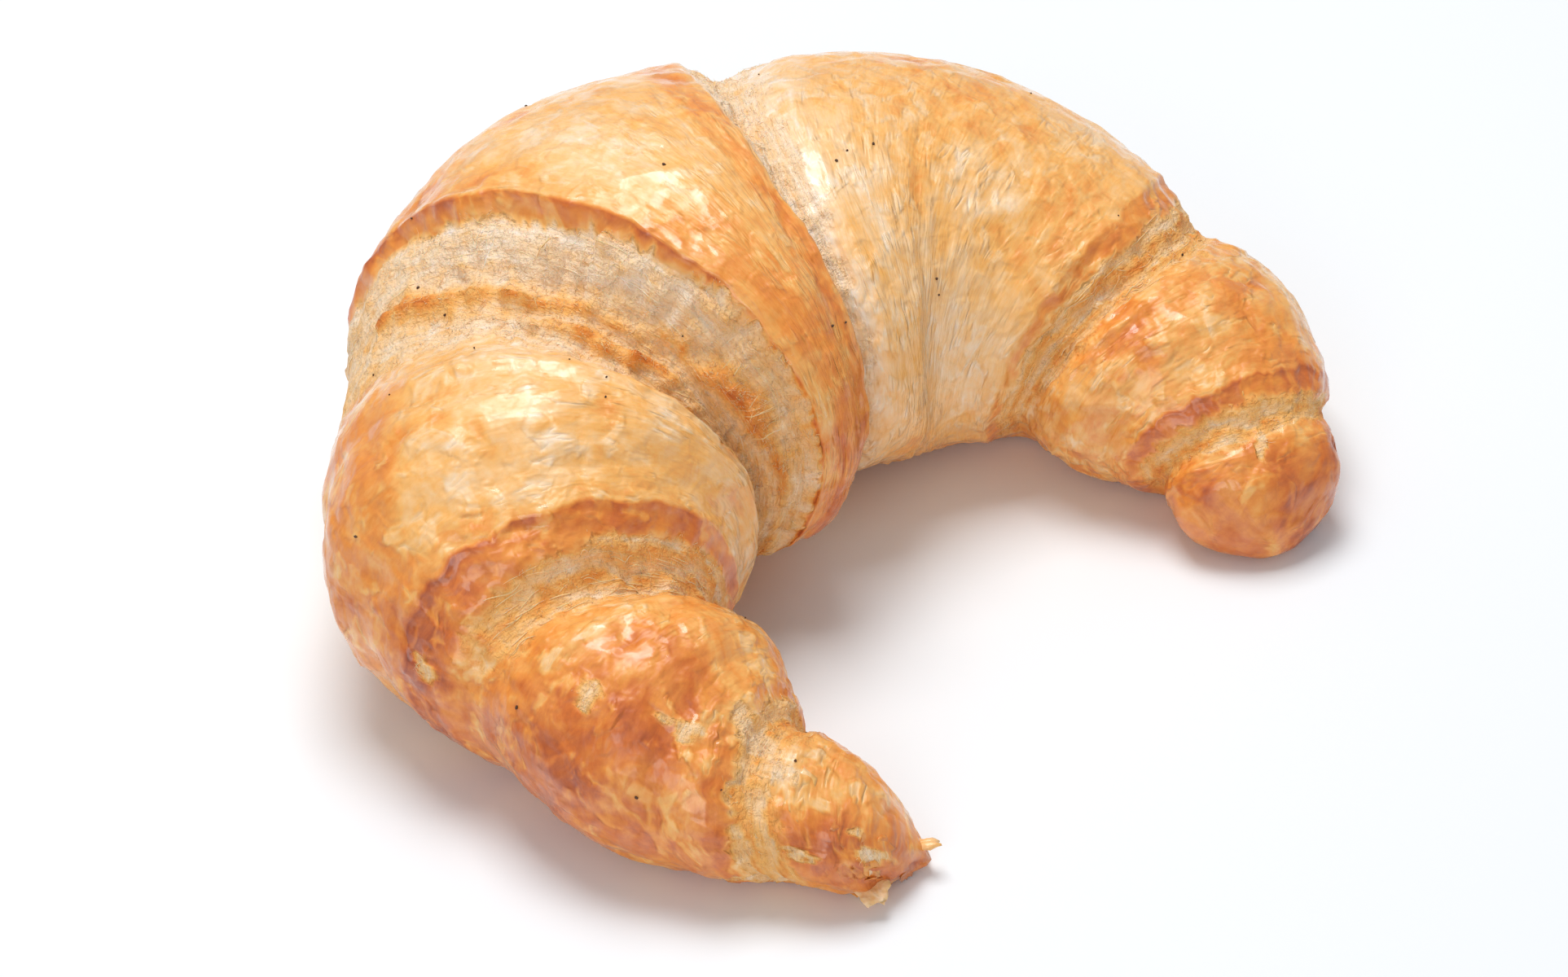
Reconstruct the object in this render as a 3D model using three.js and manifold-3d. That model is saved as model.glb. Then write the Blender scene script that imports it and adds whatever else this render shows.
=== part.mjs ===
// A butter croissant as it lies after baking: one roll of laminated dough, bent into a crescent.
// Millimetres, +Z up. Both tips point towards -Y and the middle wrap lies towards +Y.
// The origin is under the middle of the croissant's outline, on the plane that it rests on.
// The roll is described by a place along it, measured from its middle (minus is the slender
// left arm), and by an angle round it: 0 faces the hollow of the crescent, 90 is the top,
// 180 faces outwards and 270 is the underside.

import * as THREE from "three";
import { mergeVertices } from "three/addons/utils/BufferGeometryUtils.js";
import Module from "manifold-3d";

// Stations that steer the roll's middle line in plan, from the slender tip to the blunt one, and
// the roll's half width there. Both follow them smoothly, without passing through each.
const STATIONS = [
  { x: -42.5, y: -55.5, half: 6 },
  { x: -57, y: -36, half: 15 },
  { x: -52, y: 3.5, half: 25 },
  { x: -33, y: 20.5, half: 37.5 },
  { x: -6.5, y: 26, half: 40 },
  { x: 27, y: 23, half: 36.5 },
  { x: 48.5, y: 3.5, half: 30 },
  { x: 54, y: -34, half: 21.5 },
  { x: 37, y: -58, half: 10.5 },
];
const HEIGHT_SHARE = 0.82; // the roll's height over its width
const SINK = 0.92; // how high its middle line runs, as a share of its half height
const CAP = { slender: 12, blunt: 11 }; // length over which each tip rounds off
const CAP_SETTLE = 0.35; // share of its height that the middle line keeps at the very tips

// Each browned edge where a wrap ends and steps down onto the wrap below it, from the slender tip
// to the blunt one. A triple gives a value on the hollow side, on top and on the outer side.
// "along" is the edge's place, "depth" the step, "wall" the width of the pale torn side below the
// edge, and "rise" the width over which the lower wrap's own crust comes up again.
const EDGES = [
  { faces: -1, along: [-88, -86, -89], depth: [3, 3.2, 1.5], wall: 3.5, rise: 6 },
  { faces: -1, along: [-59, -54, -53], depth: [5, 6.5, 3], wall: 7, rise: 8 },
  { faces: -1, along: [-19, -13, -16], depth: [8, 11, 4.5], wall: 12, rise: 11 },
  { faces: 1, along: [3, 18, 29], depth: [6, 4.5, 4.5], wall: 3.5, rise: 10 },
  { faces: 1, along: [73, 81, 73], depth: [4.5, 5.5, 5], wall: 6, rise: 7 },
  { faces: 1, along: [105, 109, 104], depth: [5, 4.5, 3], wall: 4, rise: 5 },
];

// The step's section. "out" runs from the edge: behind it in millimetres, then in shares of the
// wall, then in shares of the rise. "fall" is the share of the depth.
const STEP_BEHIND = [
  { out: -5, fall: 0 },
  { out: -2, fall: 0.04 },
  { out: 0, fall: 0.16 },
];
const STEP_WALL = [
  { out: 0.12, fall: 0.4 },
  { out: 0.45, fall: 0.68 },
  { out: 0.8, fall: 0.94 },
  { out: 1, fall: 1 },
];
const STEP_RISE = [
  { out: 0.3, fall: 0.86 },
  { out: 0.65, fall: 0.45 },
  { out: 1, fall: 0.2 },
];

// The crown of each wrap between its steps, tip to tip, and how many rows of the mesh it takes.
const CROWNS = [
  { swell: 1, rows: 7 },
  { swell: 1.6, rows: 6 },
  { swell: 2, rows: 5 },
  { swell: 1.2, rows: 6 },
  { swell: 2, rows: 10 },
  { swell: 2, rows: 5 },
  { swell: 1, rows: 6 },
];

const COLUMNS = { shown: 46, under: 6 }; // points round the roll: where it shows, and on its underside
const UNDER_HALF = 30; // half of the underside's share of the circle, in degrees
const CRAG = { wall: 1.1, crust: 0.35, grain: 4 }; // relief of torn dough and of crust, and its size

// The middle wrap's pointed end, low in the hollow: its angle, how softly it ends there and beside
// its edges, and the cosine of the angles on the hollow side where it counts.
const TONGUE = { ends: -42, fades: 14, seam: 2.5, hollow: { from: 0.1, full: 0.4 } };
const UNDERSIDE = { smoothBelow: -0.97, fullAbove: -0.7 }; // sine of the angle where steps fade out
const PLAN_MIDDLE = { x: 0.7, y: 2.1 }; // middle of the outline in the stations' plan: the origin

// Stiff scraps of crust that stand off the slender tip: where each is rooted on the roll, the
// direction that it points in, its size, and how much of its length is sunk in the dough.
const SCRAPS = [
  { place: -105, angle: 205, points: [-0.76, -0.6, -0.25], length: 7, width: 5, thick: 1, sunk: 0.55 },
  { place: -112, angle: 90, points: [0.5, -0.83, 0.25], length: 7, width: 2.4, thick: 1.6, sunk: 0.7 },
];
// A scrap's ragged outline, in shares of its length and width.
const SCRAP_OUTLINE = [
  [0, -0.5],
  [0.7, -0.42],
  [1, -0.1],
  [0.86, 0.16],
  [0.95, 0.36],
  [0.5, 0.5],
  [0, 0.4],
];

const DEGREE = Math.PI / 180;
const WELD = 1e-4; // corners closer than this are one
const HASH = { x: 127.1, y: 311.7, z: 74.7, spread: 43758.5453 }; // scatter of the repeatable noise

// A plan line steered by stations: a uniform cubic B-spline, with its ends carried on straight.
class SteeredLine extends THREE.Curve {
  constructor(stations) {
    super();
    const last = stations.length - 1;
    const beyond = (end, inner) => end.clone().multiplyScalar(2).sub(inner);
    this.spans = last;
    this.points = [
      beyond(stations[0], stations[1]),
      ...stations,
      beyond(stations[last], stations[last - 1]),
    ];
  }

  getPoint(t, target = new THREE.Vector3()) {
    const place = t * this.spans;
    const span = Math.min(this.spans - 1, Math.floor(place));
    const u = place - span;
    const weights = [
      (1 - u) ** 3,
      3 * u ** 3 - 6 * u ** 2 + 4,
      -3 * u ** 3 + 3 * u ** 2 + 3 * u + 1,
      u ** 3,
    ];
    target.set(0, 0, 0);
    weights.forEach((weight, i) => target.addScaledVector(this.points[span + i], weight / 6));
    return target;
  }
}

// The half width is steered in the same way, and is the height of a second line.
const middleLine = new SteeredLine(
  STATIONS.map(({ x, y }) => new THREE.Vector3(x - PLAN_MIDDLE.x, y - PLAN_MIDDLE.y, 0)),
);
const girthLine = new SteeredLine(STATIONS.map(({ half }) => new THREE.Vector3(0, 0, half)));
middleLine.arcLengthDivisions = 800;
const lengths = middleLine.getLengths();
const leftLength = lengths[lengths.length >> 1];
const wholeLength = lengths[lengths.length - 1];

// A value that is inner at 0 degrees, top at 90 and outer at 180, and smooth all the way round.
function around([inner, top, outer], angle) {
  const mean = (inner + outer) / 2;
  return mean + ((inner - outer) / 2) * Math.cos(angle) + (top - mean) * Math.sin(angle);
}

function smoothStep(low, high, value) {
  return THREE.MathUtils.smoothstep(value, low, high);
}

// Repeatable noise between -1 and 1, smooth over one unit of each coordinate.
function noise(x, y, z) {
  const corner = (i, j, k) => {
    const h = Math.sin(i * HASH.x + j * HASH.y + k * HASH.z) * HASH.spread;
    return 2 * (h - Math.floor(h)) - 1;
  };
  const [i, j, k] = [Math.floor(x), Math.floor(y), Math.floor(z)];
  const [u, v, w] = [x - i, y - j, z - k].map((t) => t * t * (3 - 2 * t));
  let sum = 0;
  for (const a of [0, 1]) {
    for (const b of [0, 1]) {
      for (const c of [0, 1]) {
        const weight = (a ? u : 1 - u) * (b ? v : 1 - v) * (c ? w : 1 - w);
        sum += weight * corner(i + a, j + b, k + c);
      }
    }
  }
  return sum;
}

// How much of a step is left at an angle: all of it where it shows, nothing on the flat underside.
function exposed(angle) {
  return smoothStep(UNDERSIDE.smoothBelow, UNDERSIDE.fullAbove, Math.sin(angle));
}

// The mesh's rows from tip to tip. Each row knows its place along the roll and how far it lies
// below the roll's full girth, both by angle, and how torn its dough is.
function stepRows(edge) {
  const { faces, along, depth, wall, rise } = edge;
  const section = [
    ...STEP_BEHIND.map(({ out, fall }) => ({ out, fall, torn: 0 })),
    ...STEP_WALL.map(({ out, fall }) => ({ out: out * wall, fall, torn: 1 })),
    ...STEP_RISE.map(({ out, fall }) => ({ out: wall + out * rise, fall, torn: 1 - out })),
  ];
  const rows = section.map(({ out, fall, torn }) => ({
    along: (angle) => around(along, angle) + faces * out,
    drop: (angle) => around(depth, angle) * fall,
    torn,
  }));
  return faces < 0 ? rows.reverse() : rows;
}

// Rows of a crown between two neighbouring rows, easing from one row's drop to the other's.
function crownRows(before, after, { swell, rows }) {
  const made = [];
  for (let i = 1; i <= rows; i++) {
    const share = i / (rows + 1);
    const ease = smoothStep(0, 1, share);
    made.push({
      along: (angle) => THREE.MathUtils.lerp(before.along(angle), after.along(angle), share),
      drop: (angle) =>
        THREE.MathUtils.lerp(before.drop(angle), after.drop(angle), ease) -
        swell * Math.sin(Math.PI * share),
      torn: 0,
    });
  }
  return made;
}

function allRows() {
  const endRow = (place) => ({ along: () => place, drop: () => 0, torn: 0 });
  const steps = EDGES.map(stepRows);
  const rows = [];
  let before = endRow(-leftLength);
  CROWNS.forEach((crown, i) => {
    const after = i < steps.length ? steps[i][0] : endRow(wholeLength - leftLength);
    rows.push(...crownRows(before, after, crown));
    if (i < steps.length) {
      rows.push(...steps[i]);
      before = steps[i][steps[i].length - 1];
    }
  });
  return rows;
}

// A point of the roll at a place and an angle, the given distance below its full girth.
function pointOnRoll(place, angle, drop) {
  const share = THREE.MathUtils.clamp((leftLength + place) / wholeLength, 0, 1);
  const t = middleLine.getUtoTmapping(share);
  const centre = middleLine.getPoint(t);
  const tangent = middleLine.getTangent(t);
  const outwards = new THREE.Vector3(-tangent.y, tangent.x, 0);
  const fromSlender = share * wholeLength;
  const fromBlunt = wholeLength - fromSlender;
  const round = (distance, cap) => {
    const left = 1 - Math.min(1, distance / cap);
    return Math.sqrt(Math.max(0, 1 - left * left));
  };
  const taper = round(fromSlender, CAP.slender) * round(fromBlunt, CAP.blunt);
  const half = girthLine.getPoint(t).z;
  const across = Math.max(0, half - drop) * taper;
  const up = Math.max(0, half * HEIGHT_SHARE - drop) * taper;
  const middle = half * HEIGHT_SHARE * SINK * THREE.MathUtils.lerp(CAP_SETTLE, 1, taper);
  const point = centre.addScaledVector(outwards, -Math.cos(angle) * across);
  point.z = Math.max(0, middle + Math.sin(angle) * up);
  return point;
}

// The middle wrap tapers to a tongue, which ends low in the hollow. Below that end the dough of
// the wraps beside it shows, so the surface falls back to their level.
function tongueDrop(place, angle) {
  const signed = angle > Math.PI * 1.5 ? angle - 2 * Math.PI : angle;
  const below = 1 - smoothStep(TONGUE.ends, TONGUE.ends + TONGUE.fades, signed / DEGREE);
  const left = around(EDGES[2].along, angle);
  const right = around(EDGES[3].along, angle);
  const { seam, hollow } = TONGUE;
  const inside =
    smoothStep(left - seam, left + seam, place) *
    (1 - smoothStep(right - seam, right + seam, place));
  const hollowSide = smoothStep(hollow.from, hollow.full, Math.cos(angle));
  return around(EDGES[3].depth, angle) * below * inside * hollowSide * exposed(angle);
}

// The mesh's angles round the roll, closer together where it shows than on its underside.
function columnAngles() {
  const shownArc = 360 - 2 * UNDER_HALF;
  const shown = [...Array(COLUMNS.shown).keys()].map((i) => (shownArc * i) / COLUMNS.shown);
  const under = [...Array(COLUMNS.under).keys()].map(
    (i) => shownArc + (2 * UNDER_HALF * i) / COLUMNS.under,
  );
  return [...shown, ...under].map((turn) => (UNDER_HALF - 90 + turn) * DEGREE);
}

function rollGeometry() {
  const rows = allRows();
  const angles = columnAngles();
  const count = angles.length;
  const positions = [];
  const triangles = [];
  for (const row of rows) {
    for (const angle of angles) {
      const place = row.along(angle);
      const shown = exposed(angle);
      const amount = THREE.MathUtils.lerp(CRAG.crust, CRAG.wall, row.torn) * shown;
      const smooth = pointOnRoll(place, angle, 0);
      const crag = noise(smooth.x / CRAG.grain, smooth.y / CRAG.grain, smooth.z / CRAG.grain);
      const drop = row.drop(angle) * shown + tongueDrop(place, angle) + crag * amount;
      positions.push(...pointOnRoll(place, angle, drop).toArray());
    }
  }
  for (let row = 0; row + 1 < rows.length; row++) {
    for (let column = 0; column < count; column++) {
      const a = row * count + column;
      const b = row * count + ((column + 1) % count);
      triangles.push(a, a + count, b, b, a + count, b + count);
    }
  }
  const ends = [
    { place: -leftLength, row: 0 },
    { place: wholeLength - leftLength, row: rows.length - 1 },
  ];
  ends.forEach(({ place, row }, end) => {
    const pole = positions.length / 3;
    positions.push(...pointOnRoll(place, 0, 0).toArray());
    for (let column = 0; column < count; column++) {
      const a = row * count + column;
      const b = row * count + ((column + 1) % count);
      triangles.push(...(end === 0 ? [a, b, pole] : [b, a, pole]));
    }
  });
  const geometry = new THREE.BufferGeometry();
  geometry.setAttribute("position", new THREE.Float32BufferAttribute(positions, 3));
  geometry.setIndex(triangles);
  return geometry;
}

const wasm = await Module();
wasm.setup();

// A closed geometry as a manifold-3d solid, and back.
function solidOf(geometry) {
  const bare = geometry.index ? geometry.toNonIndexed() : geometry.clone();
  bare.deleteAttribute("normal");
  bare.deleteAttribute("uv");
  const merged = mergeVertices(bare, WELD);
  return new wasm.Manifold(
    new wasm.Mesh({
      numProp: 3,
      vertProperties: new Float32Array(merged.attributes.position.array),
      triVerts: new Uint32Array(merged.index.array),
    }),
  );
}

function geometryOf(solid) {
  const mesh = solid.getMesh();
  const geometry = new THREE.BufferGeometry();
  geometry.setAttribute("position", new THREE.BufferAttribute(mesh.vertProperties, 3));
  geometry.setIndex(new THREE.BufferAttribute(mesh.triVerts, 1));
  geometry.computeVertexNormals();
  return geometry;
}

// A flat ragged scrap, rooted in the roll and pointing out of it.
function scrapGeometry({ place, angle, points, length, width, thick, sunk }) {
  const outline = SCRAP_OUTLINE.map(([out, side]) => new THREE.Vector2(out * length, side * width));
  const geometry = new THREE.ExtrudeGeometry(new THREE.Shape(outline), {
    depth: thick,
    bevelEnabled: false,
  });
  geometry.translate(-sunk * length, 0, -thick / 2);
  const out = new THREE.Vector3(...points).normalize();
  const side = new THREE.Vector3(0, 0, 1).cross(out).normalize();
  const up = out.clone().cross(side);
  const root = pointOnRoll(place, angle * DEGREE, 0);
  geometry.applyMatrix4(new THREE.Matrix4().makeBasis(out, side, up).setPosition(root));
  return geometry;
}

const crust = new THREE.MeshStandardMaterial({ color: 0xd9953f, roughness: 0.45, metalness: 0 });
const loaf = SCRAPS.reduce(
  (solid, scrap) => solid.add(solidOf(scrapGeometry(scrap))),
  solidOf(rollGeometry()),
);
const croissant = new THREE.Mesh(geometryOf(loaf), crust);
croissant.name = "croissant";

const part = new THREE.Group();
part.add(croissant);

export default part;
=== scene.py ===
"""The looks of a baked butter croissant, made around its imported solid.

Lengths inside the script are millimetres, and metres only where a mesh is handed to Blender. The
croissant is one roll of dough bent into a crescent. A point of it has a place along the roll,
measured from the roll's middle (minus is the slender arm), and an angle round it: 0 faces the
hollow of the crescent, 90 is the top, 180 faces outwards and 270 is the underside.
"""

import logging
import math
from dataclasses import dataclass, field
from enum import Enum

import bmesh
import bpy
import numpy as np
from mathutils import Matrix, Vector


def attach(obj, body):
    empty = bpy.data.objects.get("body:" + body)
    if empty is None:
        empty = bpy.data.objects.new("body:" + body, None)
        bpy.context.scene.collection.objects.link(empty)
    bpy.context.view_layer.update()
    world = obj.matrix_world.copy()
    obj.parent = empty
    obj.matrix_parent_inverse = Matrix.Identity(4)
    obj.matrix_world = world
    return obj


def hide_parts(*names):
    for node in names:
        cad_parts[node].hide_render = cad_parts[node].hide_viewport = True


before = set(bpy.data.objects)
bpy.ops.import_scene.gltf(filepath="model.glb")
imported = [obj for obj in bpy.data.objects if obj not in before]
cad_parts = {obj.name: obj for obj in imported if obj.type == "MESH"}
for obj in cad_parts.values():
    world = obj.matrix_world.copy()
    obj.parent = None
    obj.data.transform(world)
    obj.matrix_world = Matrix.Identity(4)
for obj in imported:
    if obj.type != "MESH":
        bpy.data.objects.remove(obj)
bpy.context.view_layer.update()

LOG = logging.getLogger("croissant")
MM = 0.001
CLEARANCE = 0.1
DEGREE = math.pi / 180
BODY = "root"
NODE = "croissant"

Pair = tuple[float, float]
Triple = tuple[float, float, float]
Faces = list[tuple[int, ...]]
Array = np.ndarray


class Facing(Enum):
    """Which tip an edge steps down towards."""

    SLENDER = -1
    BLUNT = 1


def smooth_step(low: float | Array, high: float | Array, value: float | Array) -> Array:
    """Ease from 0 at low to 1 at high."""
    share = np.clip((value - low) / (high - low), 0, 1)
    return share * share * (3 - 2 * share)


def around(triple: Triple, angle: Array) -> Array:
    """Give the value of an inner, top and outer triple at an angle, smooth all the way round.

    Args:
        triple: The values at 0, 90 and 180 degrees.
        angle: Angles round the roll, in radians.

    Returns:
        The values at these angles.
    """
    inner, top, outer = triple
    mean = (inner + outer) / 2
    return mean + (inner - outer) / 2 * np.cos(angle) + (top - mean) * np.sin(angle)


def bump(distance: Array, width: float | Array) -> Array:
    """Give a soft round bump, 1 at distance 0 and gone a few widths away."""
    return np.exp(-((distance / width) ** 2))


def at_least(least: float, share: Array) -> Array:
    """Squeeze a share of 0 to 1 into least to 1."""
    return least + (1 - least) * share


def paint(red: int, green: int, blue: int) -> tuple[float, float, float, float]:
    """Turn a colour of a screen, 0 to 255, into the linear colour that shaders use.

    Args:
        red: Its red share.
        green: Its green share.
        blue: Its blue share.

    Returns:
        The linear colour with full opacity.
    """
    shares = [value / 255 for value in (red, green, blue)]
    linear = [s / 12.92 if s <= 0.04045 else ((s + 0.055) / 1.055) ** 2.4 for s in shares]
    return (*linear, 1.0)


class Grain:
    """Seeded smooth noise over points in space."""

    LATTICE = 256
    SPAN = 1.6

    def __init__(self, seed: int) -> None:
        """Draw the lattice.

        Args:
            seed: Names the pattern. The same seed always gives the same noise.
        """
        draw = np.random.default_rng(seed)
        self.order = draw.permutation(self.LATTICE)
        slopes = draw.normal(size=(self.LATTICE, 3))
        self.slopes = slopes / np.linalg.norm(slopes, axis=1, keepdims=True)
        self.hearts = draw.random((self.LATTICE, 3))
        self.marks = draw.random(self.LATTICE)

    def _slot(self, cell: Array) -> Array:
        """Give the lattice entry of whole-numbered cells.

        Args:
            cell: Whole-numbered places in space.

        Returns:
            The entry of each.
        """
        wrap = self.LATTICE - 1
        first = self.order[cell[..., 0] & wrap]
        second = self.order[(first + cell[..., 1]) & wrap]
        return self.order[(second + cell[..., 2]) & wrap]

    def wave(self, points: Array) -> Array:
        """Give smooth noise.

        Args:
            points: Points in units of one wave.

        Returns:
            Values between about -1 and 1.
        """
        cell = np.floor(points).astype(int)
        inside = points - cell
        ease = inside**3 * (inside * (inside * 6 - 15) + 10)
        total = np.zeros(points.shape[:-1])
        for corner in np.ndindex(2, 2, 2):
            offset = np.array(corner)
            weight = np.prod(np.where(offset, ease, 1 - ease), axis=-1)
            slope = self.slopes[self._slot(cell + offset)]
            total += weight * np.sum(slope * (inside - offset), axis=-1)
        return total * self.SPAN

    def layered(self, points: Array, octaves: int, gain: float = 0.5) -> Array:
        """Give noise with finer noise on it, each octave gain times as strong.

        Args:
            points: Points in units of the widest wave.
            octaves: How many octaves are added up.
            gain: The strength of each octave against the one before.

        Returns:
            Values between about -1 and 1.
        """
        strengths = [gain**i for i in range(octaves)]
        waves = [s * self.wave(points * 2.03**i + 7.7 * i) for i, s in enumerate(strengths)]
        return sum(waves) / sum(strengths)

    def ridged(self, points: Array, octaves: int, gain: float = 0.5) -> Array:
        """Give noise with sharp crests, 0 in the valleys and 1 on the crests.

        Args:
            points: Points in units of the widest wave.
            octaves: How many octaves are added up.
            gain: The strength of each octave against the one before.

        Returns:
            Values between 0 and 1.
        """
        strengths = [gain**i for i in range(octaves)]
        crests = [
            s * (1 - np.abs(self.wave(points * 2.11**i + 3.1 * i))) ** 2
            for i, s in enumerate(strengths)
        ]
        return sum(crests) / sum(strengths)

    def cells(self, points: Array) -> tuple[Array, Array, Array]:
        """Cut space into uneven cells.

        Args:
            points: Points in units of one cell.

        Returns:
            The distance to the cell's heart, how much further the next heart lies, and a number
            between 0 and 1 that belongs to the cell.
        """
        cell = np.floor(points).astype(int)
        nearest = np.full(points.shape[:-1], np.inf)
        second = nearest.copy()
        owner = np.zeros(points.shape[:-1], int)
        for shift in np.ndindex(3, 3, 3):
            at = cell + np.array(shift) - 1
            slot = self._slot(at)
            gap = np.linalg.norm(points - at - self.hearts[slot], axis=-1)
            closer = gap < nearest
            second = np.where(closer, nearest, np.minimum(second, gap))
            owner = np.where(closer, slot, owner)
            nearest = np.minimum(nearest, gap)
        return nearest, second - nearest, self.marks[owner]


@dataclass(frozen=True)
class Station:
    """A point that steers the roll's middle line in plan, and the roll's half width there."""

    x: float
    y: float
    half: float


@dataclass(frozen=True)
class BrownedEdge:
    """An edge where a wrap ends and steps down onto the wrap below it."""

    name: str
    facing: Facing
    along: Triple
    depth: Triple
    wall: float
    rise: float
    foot: float
    band: Triple
    line: Triple
    bare: float
    crumb: Triple
    tone: float
    seed: int


@dataclass(frozen=True)
class Crown:
    """The round top of a wrap between its steps."""

    swell: float
    rows: int


EDGES = (
    BrownedEdge("second_over_tip", Facing.SLENDER, (-88, -86, -89), (3, 3.2, 1.5), 3.5, 6, foot=1.0,
                band=(0.8, 1.2, 1.5), line=(0.04, 0.05, 0.1), bare=8,
                crumb=(0.7, 0.8, 0.7), tone=0.42, seed=11),
    BrownedEdge("third_over_second", Facing.SLENDER, (-59, -54, -53), (5, 6.5, 3), 7, 8, foot=0.85,
                band=(1.2, 2.6, 3.6), line=(0.1, 0.2, 0.22), bare=5,
                crumb=(0.6, 0.8, 0.25), tone=0.4, seed=12),
    BrownedEdge("middle_over_third", Facing.SLENDER, (-19, -13, -16), (8, 11, 4.5), 12, 11, foot=0.68,
                band=(-1.2, 0.5, 0.3), line=(0.3, 0.22, 0.22), bare=7,
                crumb=(1.0, 1.0, 0.5), tone=0.1, seed=13),
    BrownedEdge("middle_over_fifth", Facing.BLUNT, (3, 18, 29), (6, 4.5, 4.5), 3.5, 10, foot=1.0,
                band=(0.6, 0.6, 0.8), line=(0.16, 0.08, 0.1), bare=9,
                crumb=(0.8, 0.9, 0.8), tone=0.1, seed=14),
    BrownedEdge("fifth_over_sixth", Facing.BLUNT, (73, 81, 73), (3.6, 4.0, 3.8), 6, 7, foot=1.0,
                band=(1.5, 2.2, 2.0), line=(0.03, 0.07, 0.09), bare=6,
                crumb=(0.6, 0.75, 0.5), tone=0.43, seed=15),
    BrownedEdge("sixth_over_tip", Facing.BLUNT, (105, 109, 104), (3.4, 2.8, 2.2), 4, 5, foot=1.0,
                band=(1.0, 1.6, 1.5), line=(0.14, 0.2, 0.16), bare=4,
                crumb=(0.6, 0.7, 0.5), tone=0.41, seed=16),
)
MIDDLE_LEFT = EDGES[2]
MIDDLE_RIGHT = EDGES[3]


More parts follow.
